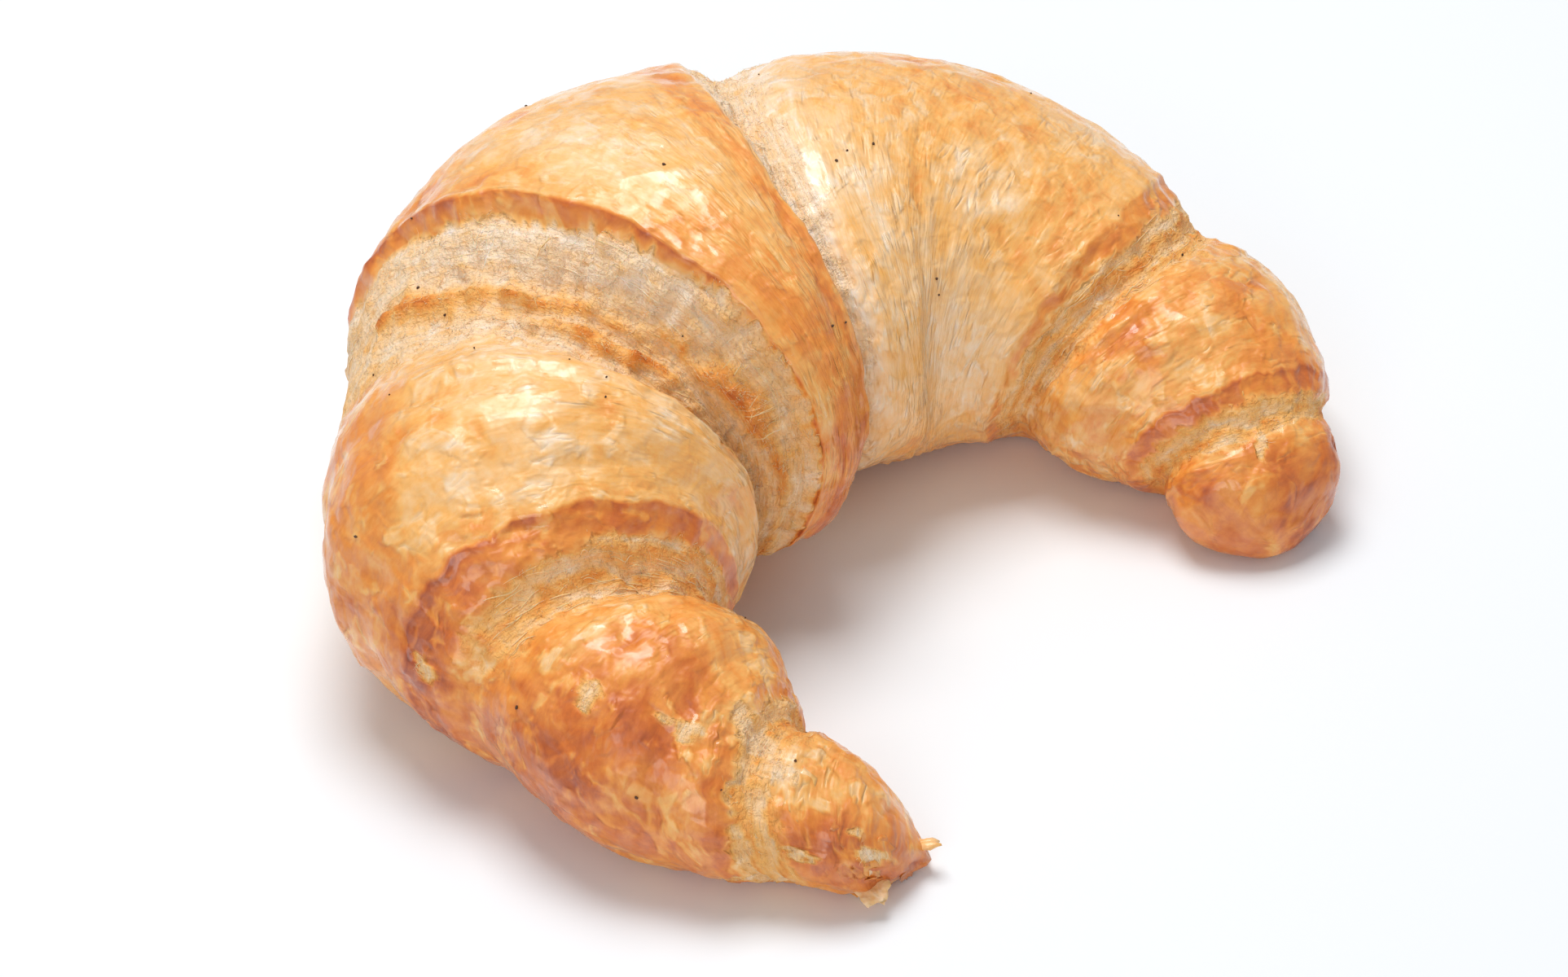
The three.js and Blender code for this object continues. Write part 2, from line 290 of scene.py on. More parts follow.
@dataclass
class RollForm:
    """The croissant's smooth form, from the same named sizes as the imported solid."""

    stations: tuple[Station, ...] = (
        Station(-42.5, -55.5, 6),
        Station(-57, -36, 15),
        Station(-52, 3.5, 25),
        Station(-33, 20.5, 37.5),
        Station(-6.5, 26, 40),
        Station(27, 23, 36.5),
        Station(48.5, 3.5, 30),
        Station(54, -34, 21.5),
        Station(37, -58, 10.5),
    )
    plan_middle: tuple[float, float] = (0.7, 2.1)
    height_share: float = 0.82
    sink: float = 0.92
    cap_slender: float = 12
    cap_blunt: float = 11
    cap_settle: float = 0.35
    divisions: int = 800
    smooth_below: float = -0.97
    full_above: float = -0.7
    tongue_ends: float = -42
    tongue_fades: float = 14
    tongue_seam: float = 2.5
    tongue_from: float = 0.1
    tongue_full: float = 0.4
    girth_least: float = 0.3
    girth_share: float = 0.6
    left: float = field(init=False)
    whole: float = field(init=False)

    def __post_init__(self) -> None:
        """Measure the middle line."""
        rows = [(s.x - self.plan_middle[0], s.y - self.plan_middle[1], s.half) for s in self.stations]
        inner = np.array(rows)
        self._points = np.vstack([2 * inner[0] - inner[1], inner, 2 * inner[-1] - inner[-2]])
        self._shares = np.linspace(0, 1, self.divisions + 1)
        line = self._steer(self._shares)[:, :2]
        steps = np.linalg.norm(np.diff(line, axis=0), axis=1)
        self._lengths = np.concatenate([[0], np.cumsum(steps)])
        self.left = float(self._lengths[self.divisions // 2])
        self.whole = float(self._lengths[-1])

    def _steer(self, share: Array) -> Array:
        """Give plan position and half width on the uniform cubic B-spline at shares of it.

        Args:
            share: Shares of the spline, 0 to 1.

        Returns:
            The x, y and half width at each share.
        """
        spans = len(self.stations) - 1
        place = np.asarray(share) * spans
        span = np.clip(np.floor(place).astype(int), 0, spans - 1)
        u = (place - span)[..., None]
        weights = ((1 - u) ** 3, 3 * u**3 - 6 * u**2 + 4, -3 * u**3 + 3 * u**2 + 3 * u + 1, u**3)
        return sum(w * self._points[span + i] for i, w in enumerate(weights)) / 6

    def exposed(self, angle: Array) -> Array:
        """Give how much of a step is left: all where it shows, nothing on the flat underside."""
        return smooth_step(self.smooth_below, self.full_above, np.sin(angle))

    def point(self, place: Array, angle: Array, drop: Array) -> Array:
        """Find points of the roll.

        Args:
            place: Places along the roll.
            angle: Angles round it, in radians.
            drop: How far the points lie below the roll's full girth.

        Returns:
            Their positions, in one more dimension.
        """
        reach = np.clip(self.left + place, 0, self.whole)
        share = np.interp(reach, self._lengths, self._shares)
        here = self._steer(share)
        tiny = 1e-4
        run = self._steer(np.minimum(1, share + tiny)) - self._steer(np.maximum(0, share - tiny))
        run = run[..., :2] / np.linalg.norm(run[..., :2], axis=-1, keepdims=True)
        taper = self._rounding(reach, self.cap_slender)
        taper = taper * self._rounding(self.whole - reach, self.cap_blunt)
        half = here[..., 2]
        across = np.maximum(0, half - drop) * taper
        up = np.maximum(0, half * self.height_share - drop) * taper
        settle = self.cap_settle + (1 - self.cap_settle) * taper
        middle = half * self.height_share * self.sink * settle
        x = here[..., 0] + run[..., 1] * np.cos(angle) * across
        y = here[..., 1] - run[..., 0] * np.cos(angle) * across
        z = np.maximum(0, middle + np.sin(angle) * up)
        return np.stack([x, y, z], axis=-1)

    def girth(self, place: Array) -> Array:
        """Give about how far the surface lies from the middle line at places along the roll.

        Args:
            place: Places along the roll.

        Returns:
            The distances.
        """
        reach = np.clip(self.left + place, 0, self.whole)
        half = self._steer(np.interp(reach, self._lengths, self._shares))[..., 2]
        taper = self._rounding(reach, self.cap_slender)
        taper = taper * self._rounding(self.whole - reach, self.cap_blunt)
        return half * (self.girth_least + self.girth_share * taper)

    @staticmethod
    def _rounding(distance: Array, cap: float) -> Array:
        """Give the share of the girth at a distance from a tip."""
        return np.sqrt(np.maximum(0, 1 - (1 - np.minimum(1, distance / cap)) ** 2))

    def tongue_drop(self, place: Array, angle: Array) -> Array:
        """Give how far the surface falls back below the middle wrap's pointed end.

        Args:
            place: Places along the roll.
            angle: Angles round it, in radians.

        Returns:
            The drop at each point.
        """
        signed = np.where(angle > math.pi * 1.5, angle - 2 * math.pi, angle)
        ends = self.tongue_ends
        below = 1 - smooth_step(ends, ends + self.tongue_fades, signed / DEGREE)
        left = around(MIDDLE_LEFT.along, angle)
        right = around(MIDDLE_RIGHT.along, angle)
        seam = self.tongue_seam
        inside = smooth_step(left - seam, left + seam, place)
        inside = inside * (1 - smooth_step(right - seam, right + seam, place))
        hollow = smooth_step(self.tongue_from, self.tongue_full, np.cos(angle))
        depth = around(MIDDLE_RIGHT.depth, angle)
        return depth * below * inside * hollow * self.exposed(angle)


@dataclass(frozen=True)
class Spot:
    """A patch that is darker or paler than its surroundings: mostly browning, and on the slender arm's
    lower outer side painted shade.
    """

    place: float
    angle: float
    long: float
    wide: float
    tone: float


BAKE_AND_SHADE_SPOTS = (
    Spot(122, 112, 5, 9, 0.26),
    Spot(120, 175, 8, 10, 0.4),
    Spot(119, 225, 8, 9, 0.38),
    Spot(106, 120, 4, 14, 0.12),
    Spot(-52, 165, 7, 12, 0.12),
    Spot(-78, 130, 5, 6, 0.2),
    Spot(-80, 95, 5, 6, 0.14),
    Spot(-36, 160, 12, 9, 0.1),
    # These two darken the slender arm's lower outer side: painted shade of the lower near side, on top of
    # browning.
    Spot(-72, 188, 16, 12, 0.14),
    Spot(-40, 192, 20, 14, 0.1),
    Spot(-22, 150, 5, 12, 0.08),
    Spot(-10, 120, 6, 14, 0.06),
    Spot(94, 100, 8, 9, 0.1),
    Spot(-100, 138, 6, 8, 0.2),
    Spot(-101, 160, 8, 9, 0.18),
    Spot(-106, 190, 7, 8, 0.2),
    Spot(-89, 90, 4, 5, -0.3),
    Spot(-70, 150, 8, 7, 0.16),
    Spot(-73, 168, 6, 7, 0.14),
    Spot(-72, 100, 6, 8, 0.08),
    Spot(-66, 100, 4, 16, -0.12),
    Spot(-40, 140, 7, 9, 0.14),
    Spot(-46, 108, 8, 10, -0.08),
    Spot(-30, 95, 6, 12, -0.1),
    Spot(-4, 104, 6, 10, -0.16),
    Spot(-8, 134, 9, 10, 0.05),
    Spot(-6, 40, 8, 14, 0.12),
    Spot(-6, 5, 8, 14, 0.14),
    Spot(-12, -25, 5, 9, 0.26),
    Spot(30, 60, 9, 12, -0.1),
    Spot(53, 100, 12, 14, 0.12),
    Spot(62, 66, 9, 10, -0.1),
    Spot(60, 12, 22, 12, -0.16),
    Spot(74, 70, 6, 14, 0.12),
    Spot(94, 60, 6, 9, 0.1),
    Spot(112, 120, 4, 14, -0.1),
)

FLAKY_SPOTS = (
    Spot(-88.5, 93, 4, 5, 1.0),
    Spot(-93, 108, 3, 6, 0.9),
    Spot(-82.5, 117, 3, 4, 0.8),
    Spot(-103, 132, 3, 4, 0.6),
    Spot(-105, 155, 3, 5, 0.9),
    Spot(-97, 165, 4, 4, 0.7),
    Spot(-72, 131, 2.5, 3.5, 0.8),
    Spot(-55, 170, 3, 5, 0.6),
    Spot(116, 88, 3, 4, 0.65),
    Spot(100, 205, 5, 6, 0.7),
    Spot(-92, 215, 5, 5, 0.7),
)


class Pattern(Enum):
    """The skin's patterns of noise, each with its seed."""

    WANDER = 21
    FRINGE = 22
    CRUMBLE = 23
    LUMPS = 31
    PATCHES = 32
    WRINKLES = 33
    FILMS = 34
    STREAKS = 35
    FOLDS = 36
    LAYERS = 41
    WOOL = 42
    PITS = 43
    CLUMPS = 44
    TUFTS = 45
    MIXTURE = 46
    LEAVES = 47
    PULL = 51
    HOLES = 52
    WIDTHS = 53
    BURN = 61
    MOTTLE = 62
    FLUFF = 63

    @property
    def grain(self) -> Grain:
        """Give the pattern's noise."""
        return Grain(self.value)


@dataclass(frozen=True)
class StepShape:
    """How the surface falls over an edge: shares of its depth at distances out from its lip."""

    lip_outs: tuple[float, ...] = (-5, -2, -0.5, 0, 0.45)
    lip_falls: tuple[float, ...] = (0, 0.02, 0.04, 0.08, 0.2)
    over_band: float = 0.14
    under_band: float = 0.1
    band_edge: float = 0.5
    wall_starts: float = 0.3
    regained: float = 0.8


@dataclass(frozen=True)
class TearShape:
    """Where bare dough starts below an edge and how ragged its borders are."""

    wander: float = 0.6
    wander_cell: Triple = (3, 7, 7)
    fringe: float = 0.9
    fringe_cell: Triple = (4, 1.6, 1.6)
    least_band: float = -0.5
    starts: Pair = (-0.1, 1.1)
    crumble: float = 0.8
    crumble_size: float = 2.2
    crumble_near: Pair = (0.1, 0.5)
    flaky_between: Pair = (0.25, 0.85)
    flaky_share: float = 0.9
    spot_radius: float = 24


@dataclass(frozen=True)
class CrustRelief:
    """Heights and grain sizes of baked crust."""

    bend: float = 0.6
    bend_size: float = 9
    bend_shift: float = 5.3
    lump: float = 0.5
    lump_size: float = 17
    blister: float = 0.8
    blister_cell: Triple = (6.5, 9, 9)
    blister_reach: float = 0.66
    blister_rarity: float = 0.3
    patch_size: float = 15
    patch_between: Pair = (-0.1, 0.5)
    wrinkle: float = 0.9
    wrinkle_cell: Triple = (3.6, 7, 7)
    wrinkle_mean: float = 0.4
    film: float = 0.3
    film_cell: Triple = (8, 15, 15)
    film_bend: float = 1.4
    streak: float = 0.08
    streak_cell: Triple = (1.5, 16, 16)
    fold: float = 0.16
    fold_cell: Triple = (9, 15, 15)
    fold_turns: float = 9


@dataclass(frozen=True)
class CrumbRelief:
    """Heights and grain sizes of torn dough."""

    layer: float = 0.75
    layer_cell: Triple = (1.7, 14, 14)
    tuft: float = 0.95
    tuft_cell: Triple = (6, 1.7, 1.7)
    ridge_mean: float = 0.5
    wool: float = 0.65
    wool_size: float = 2.1
    clump: float = 0.8
    clump_size: float = 4.6
    pit: float = 1.2
    pit_size: float = 3.4
    pit_reach: float = 0.45
    pit_floor: float = 0.1
    pit_rarity: float = 0.75
    mixture_size: float = 8
    mixture_between: Pair = (-0.3, 0.4)
    tufts_from: Pair = (-34, -28)
    tufts_to: Pair = (48, 40)
    leaf: float = 0.8
    leaf_pitch: float = 2.3
    leaf_pull: float = 0.9
    leaf_cell: Triple = (7, 8, 8)
    leaf_lip: float = 0.75
    woolly_from: Pair = (-34, -29)
    woolly_to: Pair = (50, 44)
    woolliness: float = 0.72


@dataclass(frozen=True)
class Split:
    """A short split in the wrap beside the middle one."""

    depth: float
    degrees: float
    half: float
    out: float
    pull: float
    width: float = 0.6


@dataclass(frozen=True)
class CreaseShape:
    """The creases where the dough was torn open beside the middle wrap."""

    depth: float = 1.6
    foot: Triple = (3.7, 7.6, 6.6)
    pull: float = 0.7
    pull_cell: Triple = (40, 6, 6)
    holes: float = 0.8
    hole_cell: Triple = (60, 3.2, 3.2)
    width: float = 1.0
    uneven: float = 0.5
    width_cell: Triple = (60, 7, 7)
    weakest: float = 0.45
    strong_between: Pair = (62, 100)
    again: float = 0.3
    again_at: float = 20
    again_half: float = 25
    second_at: float = 74
    second_half: float = 22
    second_out: float = 10.9
    second_pull: float = 1.4
    second_width: float = 1.1
    outer_end: Pair = (164, 146)
    splits: tuple[Split, ...] = (Split(0.55, 66, 13, 6, 1), Split(0.45, 46, 9, 9.5, -1))


@dataclass(frozen=True)
class Baking:
    """How the tone changes over the skin, where 0 is raw crumb and 1 is burnt."""

    wraps: tuple[float, ...] = (0.65, 0.66, 0.52, 0.52, 0.49, 0.58, 0.73)
    upward: float = 0.05
    level: float = -0.03
    crinkled: float = -0.06
    blister: float = 0.24
    blister_cap: float = 0.6
    rim: float = 1.5
    rim_width: float = 0.3
    behind: float = 0.25
    behind_out: float = -1.0
    behind_width: float = 1.8
    face: float = 0.12
    face_starts: float = 0.6
    faint: float = 0.8
    faint_at: float = 44
    faint_half: float = 20
    seam: float = 0.16
    seam_out: float = -3.2
    seam_width: float = 3
    pale: float = -0.2
    pale_ends: Pair = (17, 4)
    mottle: float = 0.09
    mottle_cell: Triple = (4, 6, 6)
    gold: float = 0.1
    gold_low: float = 0.5
    gold_low_from: Pair = (4.5, 11)
    gold_inner: float = 1.2
    gold_inner_from: Pair = (75, 30)
    gold_starts: Pair = (-2, 0)
    gold_ends: Pair = (20, 14)
    # Torn leaves are paler at their ends and darker at their roots, where the darkness is painted shade.
    leaf: float = -0.38
    leaf_mean: float = 0.3
    fluff: float = 0.12
    fluff_cell: Triple = (3, 2.2, 2.2)
    # Painted shade in the torn crumb's hollows: the lower a point sinks in its relief, the darker it is.
    hollow: float = 0.11
    hollow_shade_from: float = 0.1
    hollow_shade_cap: float = 1.5
    flaky: float = 0.24
    torn_between: Pair = (0.1, 0.8)
    burn: float = 0.3
    burn_least: float = 0.7
    burn_uneven: float = 0.6
    burn_cell: Triple = (60, 4, 4)
    burn_between: Pair = (0.1, 1.4)
    glow: float = 0.12
    glow_between: Pair = (0.1, 1.3)
    glow_widen: float = 1.9
    darkest_plain: float = 0.72
    beyond_plain: float = 0.45
    underside: float = 0.66


@dataclass
class Skin:
    """The croissant's fine surface: rows along its browned edges, columns round it."""

    form: RollForm
    edges: tuple[BrownedEdge, ...] = EDGES
    crowns: tuple[Crown, ...] = (
        Crown(1, 20), Crown(1.6, 15), Crown(2, 15), Crown(1.2, 27),
        Crown(2, 44), Crown(1.2, 11), Crown(1.6, 8),
    )
    step: StepShape = StepShape()
    tear: TearShape = TearShape()
    crust: CrustRelief = CrustRelief()
    crumb: CrumbRelief = CrumbRelief()
    crease: CreaseShape = CreaseShape()
    baking: Baking = Baking()
    step_spacing: float = 0.54
    fine_spacing: float = 0.27
    fine_reach: float = 0.81
    shown_columns: int = 250
    under_columns: int = 14
    under_half: float = 30
    flow_radius: float = 30
    behind: float = 5
    ragged: float = 0.8
    ragged_fine: float = 0.45
    ragged_turns: float = 4.2
    ragged_fine_turns: float = 13
    wrap_crinkles: tuple[float, ...] = (1.0, 0.9, 0.75, 0.5, 0.55, 0.75, 0.7)
    angles: Array = field(init=False)
    place: Array = field(init=False)
    spine: Array = field(init=False)
    points: Array = field(init=False)
    normals: Array = field(init=False)
    torn: Array = field(init=False)
    crinkle: Array = field(init=False)
    blister: Array = field(init=False)
    flaky: Array = field(init=False)
    # Browning, with some painted shade in it.
    bake: Array = field(init=False)
    flow: Array = field(init=False)

    def __post_init__(self) -> None:
        """Lay out the rows, press the relief into them and bake them."""
        self.angles = self._column_angles()
        self.place, drop, self.spine = self._rows()
        angle = self._wide(self.angles)
        shown = self.form.exposed(self.angles)
        drop = drop * shown + self.form.tongue_drop(self.place, angle)
        smooth = self.form.point(self.place, angle, drop)
        turn = np.stack([np.cos(self.angles), np.sin(self.angles)], axis=-1)
        turn = turn * self.form.girth(self.spine)[:, None, None]
        spine = np.repeat(self.spine[:, None, None], len(self.angles), axis=1)
        self.flow = np.concatenate([spine, turn], axis=-1)
        self.torn = self._torn(angle)
        self.crinkle = self._by_wrap(self.wrap_crinkles, angle)
        relief = self._relief(smooth, angle) * shown
        self.normals = self.grid_normals(smooth)
        self.points = smooth + self.normals * relief[..., None]
        self.points[..., 2] = np.maximum(0, self.points[..., 2])
        self.normals = self.grid_normals(self.points)
        self.bake = self._bake(angle, relief)

    def _wide(self, per_column: Array) -> Array:
        """Repeat a value of each column for every row."""
        return np.broadcast_to(per_column, (len(self.place), len(per_column)))

    def _column_angles(self) -> Array:
        """Lay out the columns, closer together where the roll shows.

        Returns:
            Their angles, in radians.
        """
        shown_arc = 360 - 2 * self.under_half
        shown = shown_arc * np.arange(self.shown_columns) / self.shown_columns
        under = shown_arc + 2 * self.under_half * np.arange(self.under_columns) / self.under_columns
        return (self.under_half - 90 + np.concatenate([shown, under])) * DEGREE

    def lip(self, edge: BrownedEdge, angle: Array) -> Array:
        """Find an edge's ragged lip.

        Args:
            edge: The edge.
            angle: Angles round the roll.

        Returns:
            The lip's places along the roll at these angles.
        """
        walk = np.stack([np.cos(angle), np.sin(angle), np.zeros_like(angle)], axis=-1)
        grain = Grain(edge.seed)
        coarse = grain.wave(walk * self.ragged_turns)
        fine = grain.wave(walk * self.ragged_fine_turns + 5)
        return around(edge.along, angle) + self.ragged * (coarse + self.ragged_fine * fine)

    def _fall(self, edge: BrownedEdge, out: float, angle: Array) -> Array:
        """Shape the step: a rounded lip, a small shelf, the wall and the slow rise behind it.

        Args:
            edge: The edge that steps down.
            out: How far the row lies out from the lip.
            angle: Angles round the roll.

        Returns:
            The share of the edge's depth that the surface has fallen there.
        """
        size = self.step
        band = around(edge.band, angle)
        wall, foot = edge.wall, edge.wall * edge.foot
        lip_ends = size.lip_outs[-1]
        lip = np.interp(out, size.lip_outs, size.lip_falls)
        shelf = size.lip_falls[-1] + size.over_band * smooth_step(lip_ends, band, out)
        shelf = shelf + size.under_band * smooth_step(band, band + size.band_edge, out)
        low = smooth_step(band + size.wall_starts, foot, out)
        fallen = np.where(out < lip_ends, lip, shelf + (1 - shelf) * low)
        back = smooth_step(wall, wall + edge.rise, out)
        return np.where(out > wall, 1 - size.regained * back, fallen)

    def _step_rows(self, edge: BrownedEdge) -> tuple[Array, Array, Array]:
        """Lay out the rows of one step.

        Args:
            edge: The edge that steps down.

        Returns:
            The rows' places, drops and mean places, from the slender tip's side.
        """
        side = edge.facing.value
        reach = edge.wall + edge.rise
        fine = self.fine_reach
        outs = np.concatenate([
            np.arange(-self.behind, -fine, self.step_spacing),
            np.arange(-fine, fine, self.fine_spacing),
            np.linspace(fine, reach, round((reach - fine) / self.step_spacing) + 1),
        ])
        base = around(edge.along, self.angles)
        shift = self.lip(edge, self.angles) - base
        depth = around(edge.depth, self.angles)
        places = []
        drops = []
        for out in outs:
            hold = 1 - smooth_step(0, 1, abs(out) / self.behind)
            places.append(base + side * out + shift * hold)
            drops.append(depth * self._fall(edge, out, self.angles))
        spine = edge.along[1] + side * outs
        turn = slice(None, None, side)
        return np.array(places)[turn], np.array(drops)[turn], spine[turn]

    def _rows(self) -> tuple[Array, Array, Array]:
        """Lay out all rows from tip to tip.

        Returns:
            Their places, drops and mean places.
        """
        steps = [self._step_rows(edge) for edge in self.edges]
        flat = np.zeros_like(self.angles)
        tips = [-self.form.left, self.form.whole - self.form.left]
        ends = [(np.array([flat + tip]), np.array([flat]), np.array([tip])) for tip in tips]
        blocks = [ends[0], *steps, ends[1]]
        parts = []
        for i, crown in enumerate(self.crowns):
            before = [block[-1] for block in blocks[i]]
            after = [block[0] for block in blocks[i + 1]]
            share = (np.arange(1, crown.rows + 1) / (crown.rows + 1))[:, None]
            ease = share * share * (3 - 2 * share)
            place = before[0] + (after[0] - before[0]) * share
            drop = before[1] + (after[1] - before[1]) * ease - crown.swell * np.sin(np.pi * share)
            spine = (before[2] + (after[2] - before[2]) * share)[:, 0]
            parts.append((place, drop, spine))
            if i < len(steps):
                parts.append(steps[i])
        return tuple(np.concatenate(kind) for kind in zip(*parts))

    def out(self, edge: BrownedEdge, place: Array, angle: Array) -> Array:
        """Give how far places lie out from an edge's ragged lip, minus behind it."""
        return edge.facing.value * (place - self.lip(edge, angle))

    def _by_wrap(self, values: tuple[float, ...], angle: Array) -> Array:
        """Give each point its wrap's value.

        Args:
            values: One value for each wrap, from the slender tip.
            angle: The points' angles round the roll.

        Returns:
            The value of each point, eased over the lips.
        """
        field_values = np.full_like(angle, values[0])
        for edge, before, after in zip(self.edges, values, values[1:]):
            beyond = smooth_step(-1, 1, self.place - self.lip(edge, angle))
            field_values = field_values + (after - before) * beyond
        return field_values

    def _torn(self, angle: Array) -> Array:
        """Find where the dough is torn.

        Args:
            angle: The points' angles round the roll.

        Returns:
            How torn each point is: 0 on baked crust and 1 on bare crumb.
        """
        size = self.tear
        torn = np.zeros_like(angle)
        wander = size.wander * Pattern.WANDER.grain.layered(self.flow / size.wander_cell, 3)
        fringe = size.fringe * Pattern.FRINGE.grain.layered(self.flow / size.fringe_cell, 2)
        for edge in self.edges:
            out = self.out(edge, self.place, angle)
            band = np.maximum(around(edge.band, angle), size.least_band)
            starts = smooth_step(band + size.starts[0], band + size.starts[1], out + fringe)
            ends = smooth_step(0, edge.bare, out - edge.wall + edge.bare * wander)
            torn = np.maximum(torn, around(edge.crumb, angle) * starts * (1 - ends))
        self.flaky = self._flaky(angle)
        return np.maximum(torn, size.flaky_share * self.flaky) * self.form.exposed(angle)

    def _away(self, spot: Spot, angle: Array) -> Array:
        """Measure how far points lie from a spot.

        Args:
            spot: The spot.
            angle: The points' angles round the roll.

        Returns:
            The squared distance, 1 at the spot's border.
        """
        turn = np.abs((angle / DEGREE - spot.angle + 180) % 360 - 180) * DEGREE
        away = ((self.place - spot.place) / spot.long) ** 2
        return away + (turn * self.tear.spot_radius / spot.wide) ** 2

    def _flaky(self, angle: Array) -> Array:
        """Find where the crust has crumbled into matt pale flakes.

        Args:
            angle: The points' angles round the roll.

        Returns:
            How crumbled each point is, 0 to 1.
        """
        size = self.tear
        flaky = np.zeros_like(angle)
        crumble = size.crumble * Pattern.CRUMBLE.grain.layered(self.flow / size.crumble_size, 3)
        for spot in FLAKY_SPOTS:
            near = spot.tone * np.exp(-self._away(spot, angle))
            rough = near + crumble * smooth_step(*size.crumble_near, near)
            flaky = np.maximum(flaky, smooth_step(*size.flaky_between, rough))
        return flaky

    def _relief(self, smooth: Array, angle: Array) -> Array:
        """Press blisters, wrinkles, flaky layers, crumb and creases into the smooth form.

        Args:
            smooth: The points of the smooth form.
            angle: Their angles round the roll.

        Returns:
            How far each point stands out along its normal.
        """
        crust = self._crust_relief(smooth)
        crumb = self._crumb_relief(smooth)
        relief = crust + (crumb - crust) * self.torn
        return relief - self._creases(angle)

    def _crust_relief(self, smooth: Array) -> Array:
        """Blister, wrinkle and fold the baked crust.

        Args:
            smooth: The points of the smooth form.

        Returns:
            How far each point stands out where it is crust.
        """
        size = self.crust
        grain = Pattern.LUMPS.grain
        waves = [grain.wave(smooth / size.bend_size + i * size.bend_shift) for i in range(3)]
        bend = size.bend * np.stack(waves, axis=-1)
        gap, _, mark = grain.cells(self.flow / size.blister_cell + bend)
        domes = np.clip(1 - (gap / size.blister_reach) ** 2, 0, 1) * at_least(0.4, mark)
        domes = domes * (mark > size.blister_rarity)
        patches = smooth_step(*size.patch_between, Pattern.PATCHES.grain.wave(smooth / size.patch_size))
        self.blister = domes * patches * at_least(0.3, self.crinkle)
        wrinkles = Pattern.WRINKLES.grain.ridged(self.flow / size.wrinkle_cell + bend, 2)
        wrinkles = (wrinkles - size.wrinkle_mean) * at_least(0.3, patches)
        films = Pattern.FILMS.grain.cells(self.flow / size.film_cell + bend * size.film_bend)[2]
        streaks = Pattern.STREAKS.grain.layered(self.flow / size.streak_cell, 2)
        folds = Pattern.FOLDS.grain.wave(self.flow / size.fold_cell + bend)
        folds = np.sin(size.fold_turns * folds)
        loose = (size.wrinkle * wrinkles + size.fold * folds) * self.crinkle
        firm = size.lump * grain.layered(smooth / size.lump_size, 2) + size.blister * self.blister
        return firm + loose + size.film * films + size.streak * streaks

    def _crumb_relief(self, smooth: Array) -> Array:
        """Roughen the torn dough with layers, tufts, wool, clumps and pits.

        Args:
            smooth: The points of the smooth form.

        Returns:
            How far each point stands out where it is torn.
        """
        size = self.crumb
        layers = Pattern.LAYERS.grain.ridged(self.flow / size.layer_cell, 2) - size.ridge_mean
        wool = Pattern.WOOL.grain.layered(smooth / size.wool_size, 2)
        clumps = Pattern.CLUMPS.grain.wave(smooth / size.clump_size)
        tufts = Pattern.TUFTS.grain.ridged(self.flow / size.tuft_cell, 2) - size.ridge_mean
        share = smooth_step(*size.mixture_between, Pattern.MIXTURE.grain.wave(smooth / size.mixture_size))
        share = share * smooth_step(*size.tufts_from, self.place) * smooth_step(*size.tufts_to, self.place)
        gap, _, mark = Pattern.PITS.grain.cells(smooth / size.pit_size)
        pits = smooth_step(size.pit_reach, size.pit_floor, gap) * (mark > size.pit_rarity)
        fibres = size.layer * layers * (1 - share) + size.tuft * tufts * share
        relief = fibres + size.wool * wool + size.clump * clumps - size.pit * pits
        return relief + size.leaf * self._leaves()

    def _leaves(self) -> Array:
        """Stack the laminated leaves of the dough.

        Returns:
            0 at each leaf's root and 1 at its ragged end, for each point.
        """
        size = self.crumb
        pull = size.leaf_pull * Pattern.LEAVES.grain.layered(self.flow / size.leaf_cell, 3)
        outwards = np.where(self.place < MIDDLE_RIGHT.along[0], -1, 1)
        share = (outwards * self.flow[..., 0] / size.leaf_pitch + pull) % 1.0
        woolly = smooth_step(*size.woolly_from, self.place) * smooth_step(*size.woolly_to, self.place)
        return share * smooth_step(1, size.leaf_lip, share) * (1 - size.woolliness * woolly)

    def _creases(self, angle: Array, widen: float = 1.0) -> Array:
        """Open the creases beside the middle wrap.

        Args:
            angle: The points' angles round the roll.
            widen: How many times as wide as real the two long creases are taken.

        Returns:
            The creases' depth at each point.
        """
        size = self.crease
        out = self.out(MIDDLE_LEFT, self.place, angle)
        pull = size.pull * Pattern.PULL.grain.wave(self.flow / size.pull_cell)
        holes = 1 + size.holes * Pattern.HOLES.grain.wave(self.flow / size.hole_cell)
        wide = size.width + size.uneven * Pattern.WIDTHS.grain.wave(self.flow / size.width_cell)
        wide = widen * wide
        degrees = angle / DEGREE
        strong = at_least(size.weakest, smooth_step(*size.strong_between, degrees))
        strong = strong + size.again * bump(degrees - size.again_at, size.again_half)
        first = strong * bump(out - around(size.foot, angle) - pull, wide)
        second = bump(out - size.second_out - size.second_pull * pull, size.second_width * wide)
        second = second * bump(degrees - size.second_at, size.second_half)
        depth = size.depth * holes * (first + second)
        beside = self.out(MIDDLE_RIGHT, self.place, angle)
        for split in size.splits:
            near = bump(degrees - split.degrees, split.half)
            depth = depth + split.depth * near * bump(beside - split.out - split.pull * pull, split.width)
        return depth * self.form.exposed(angle) * smooth_step(*size.outer_end, degrees)

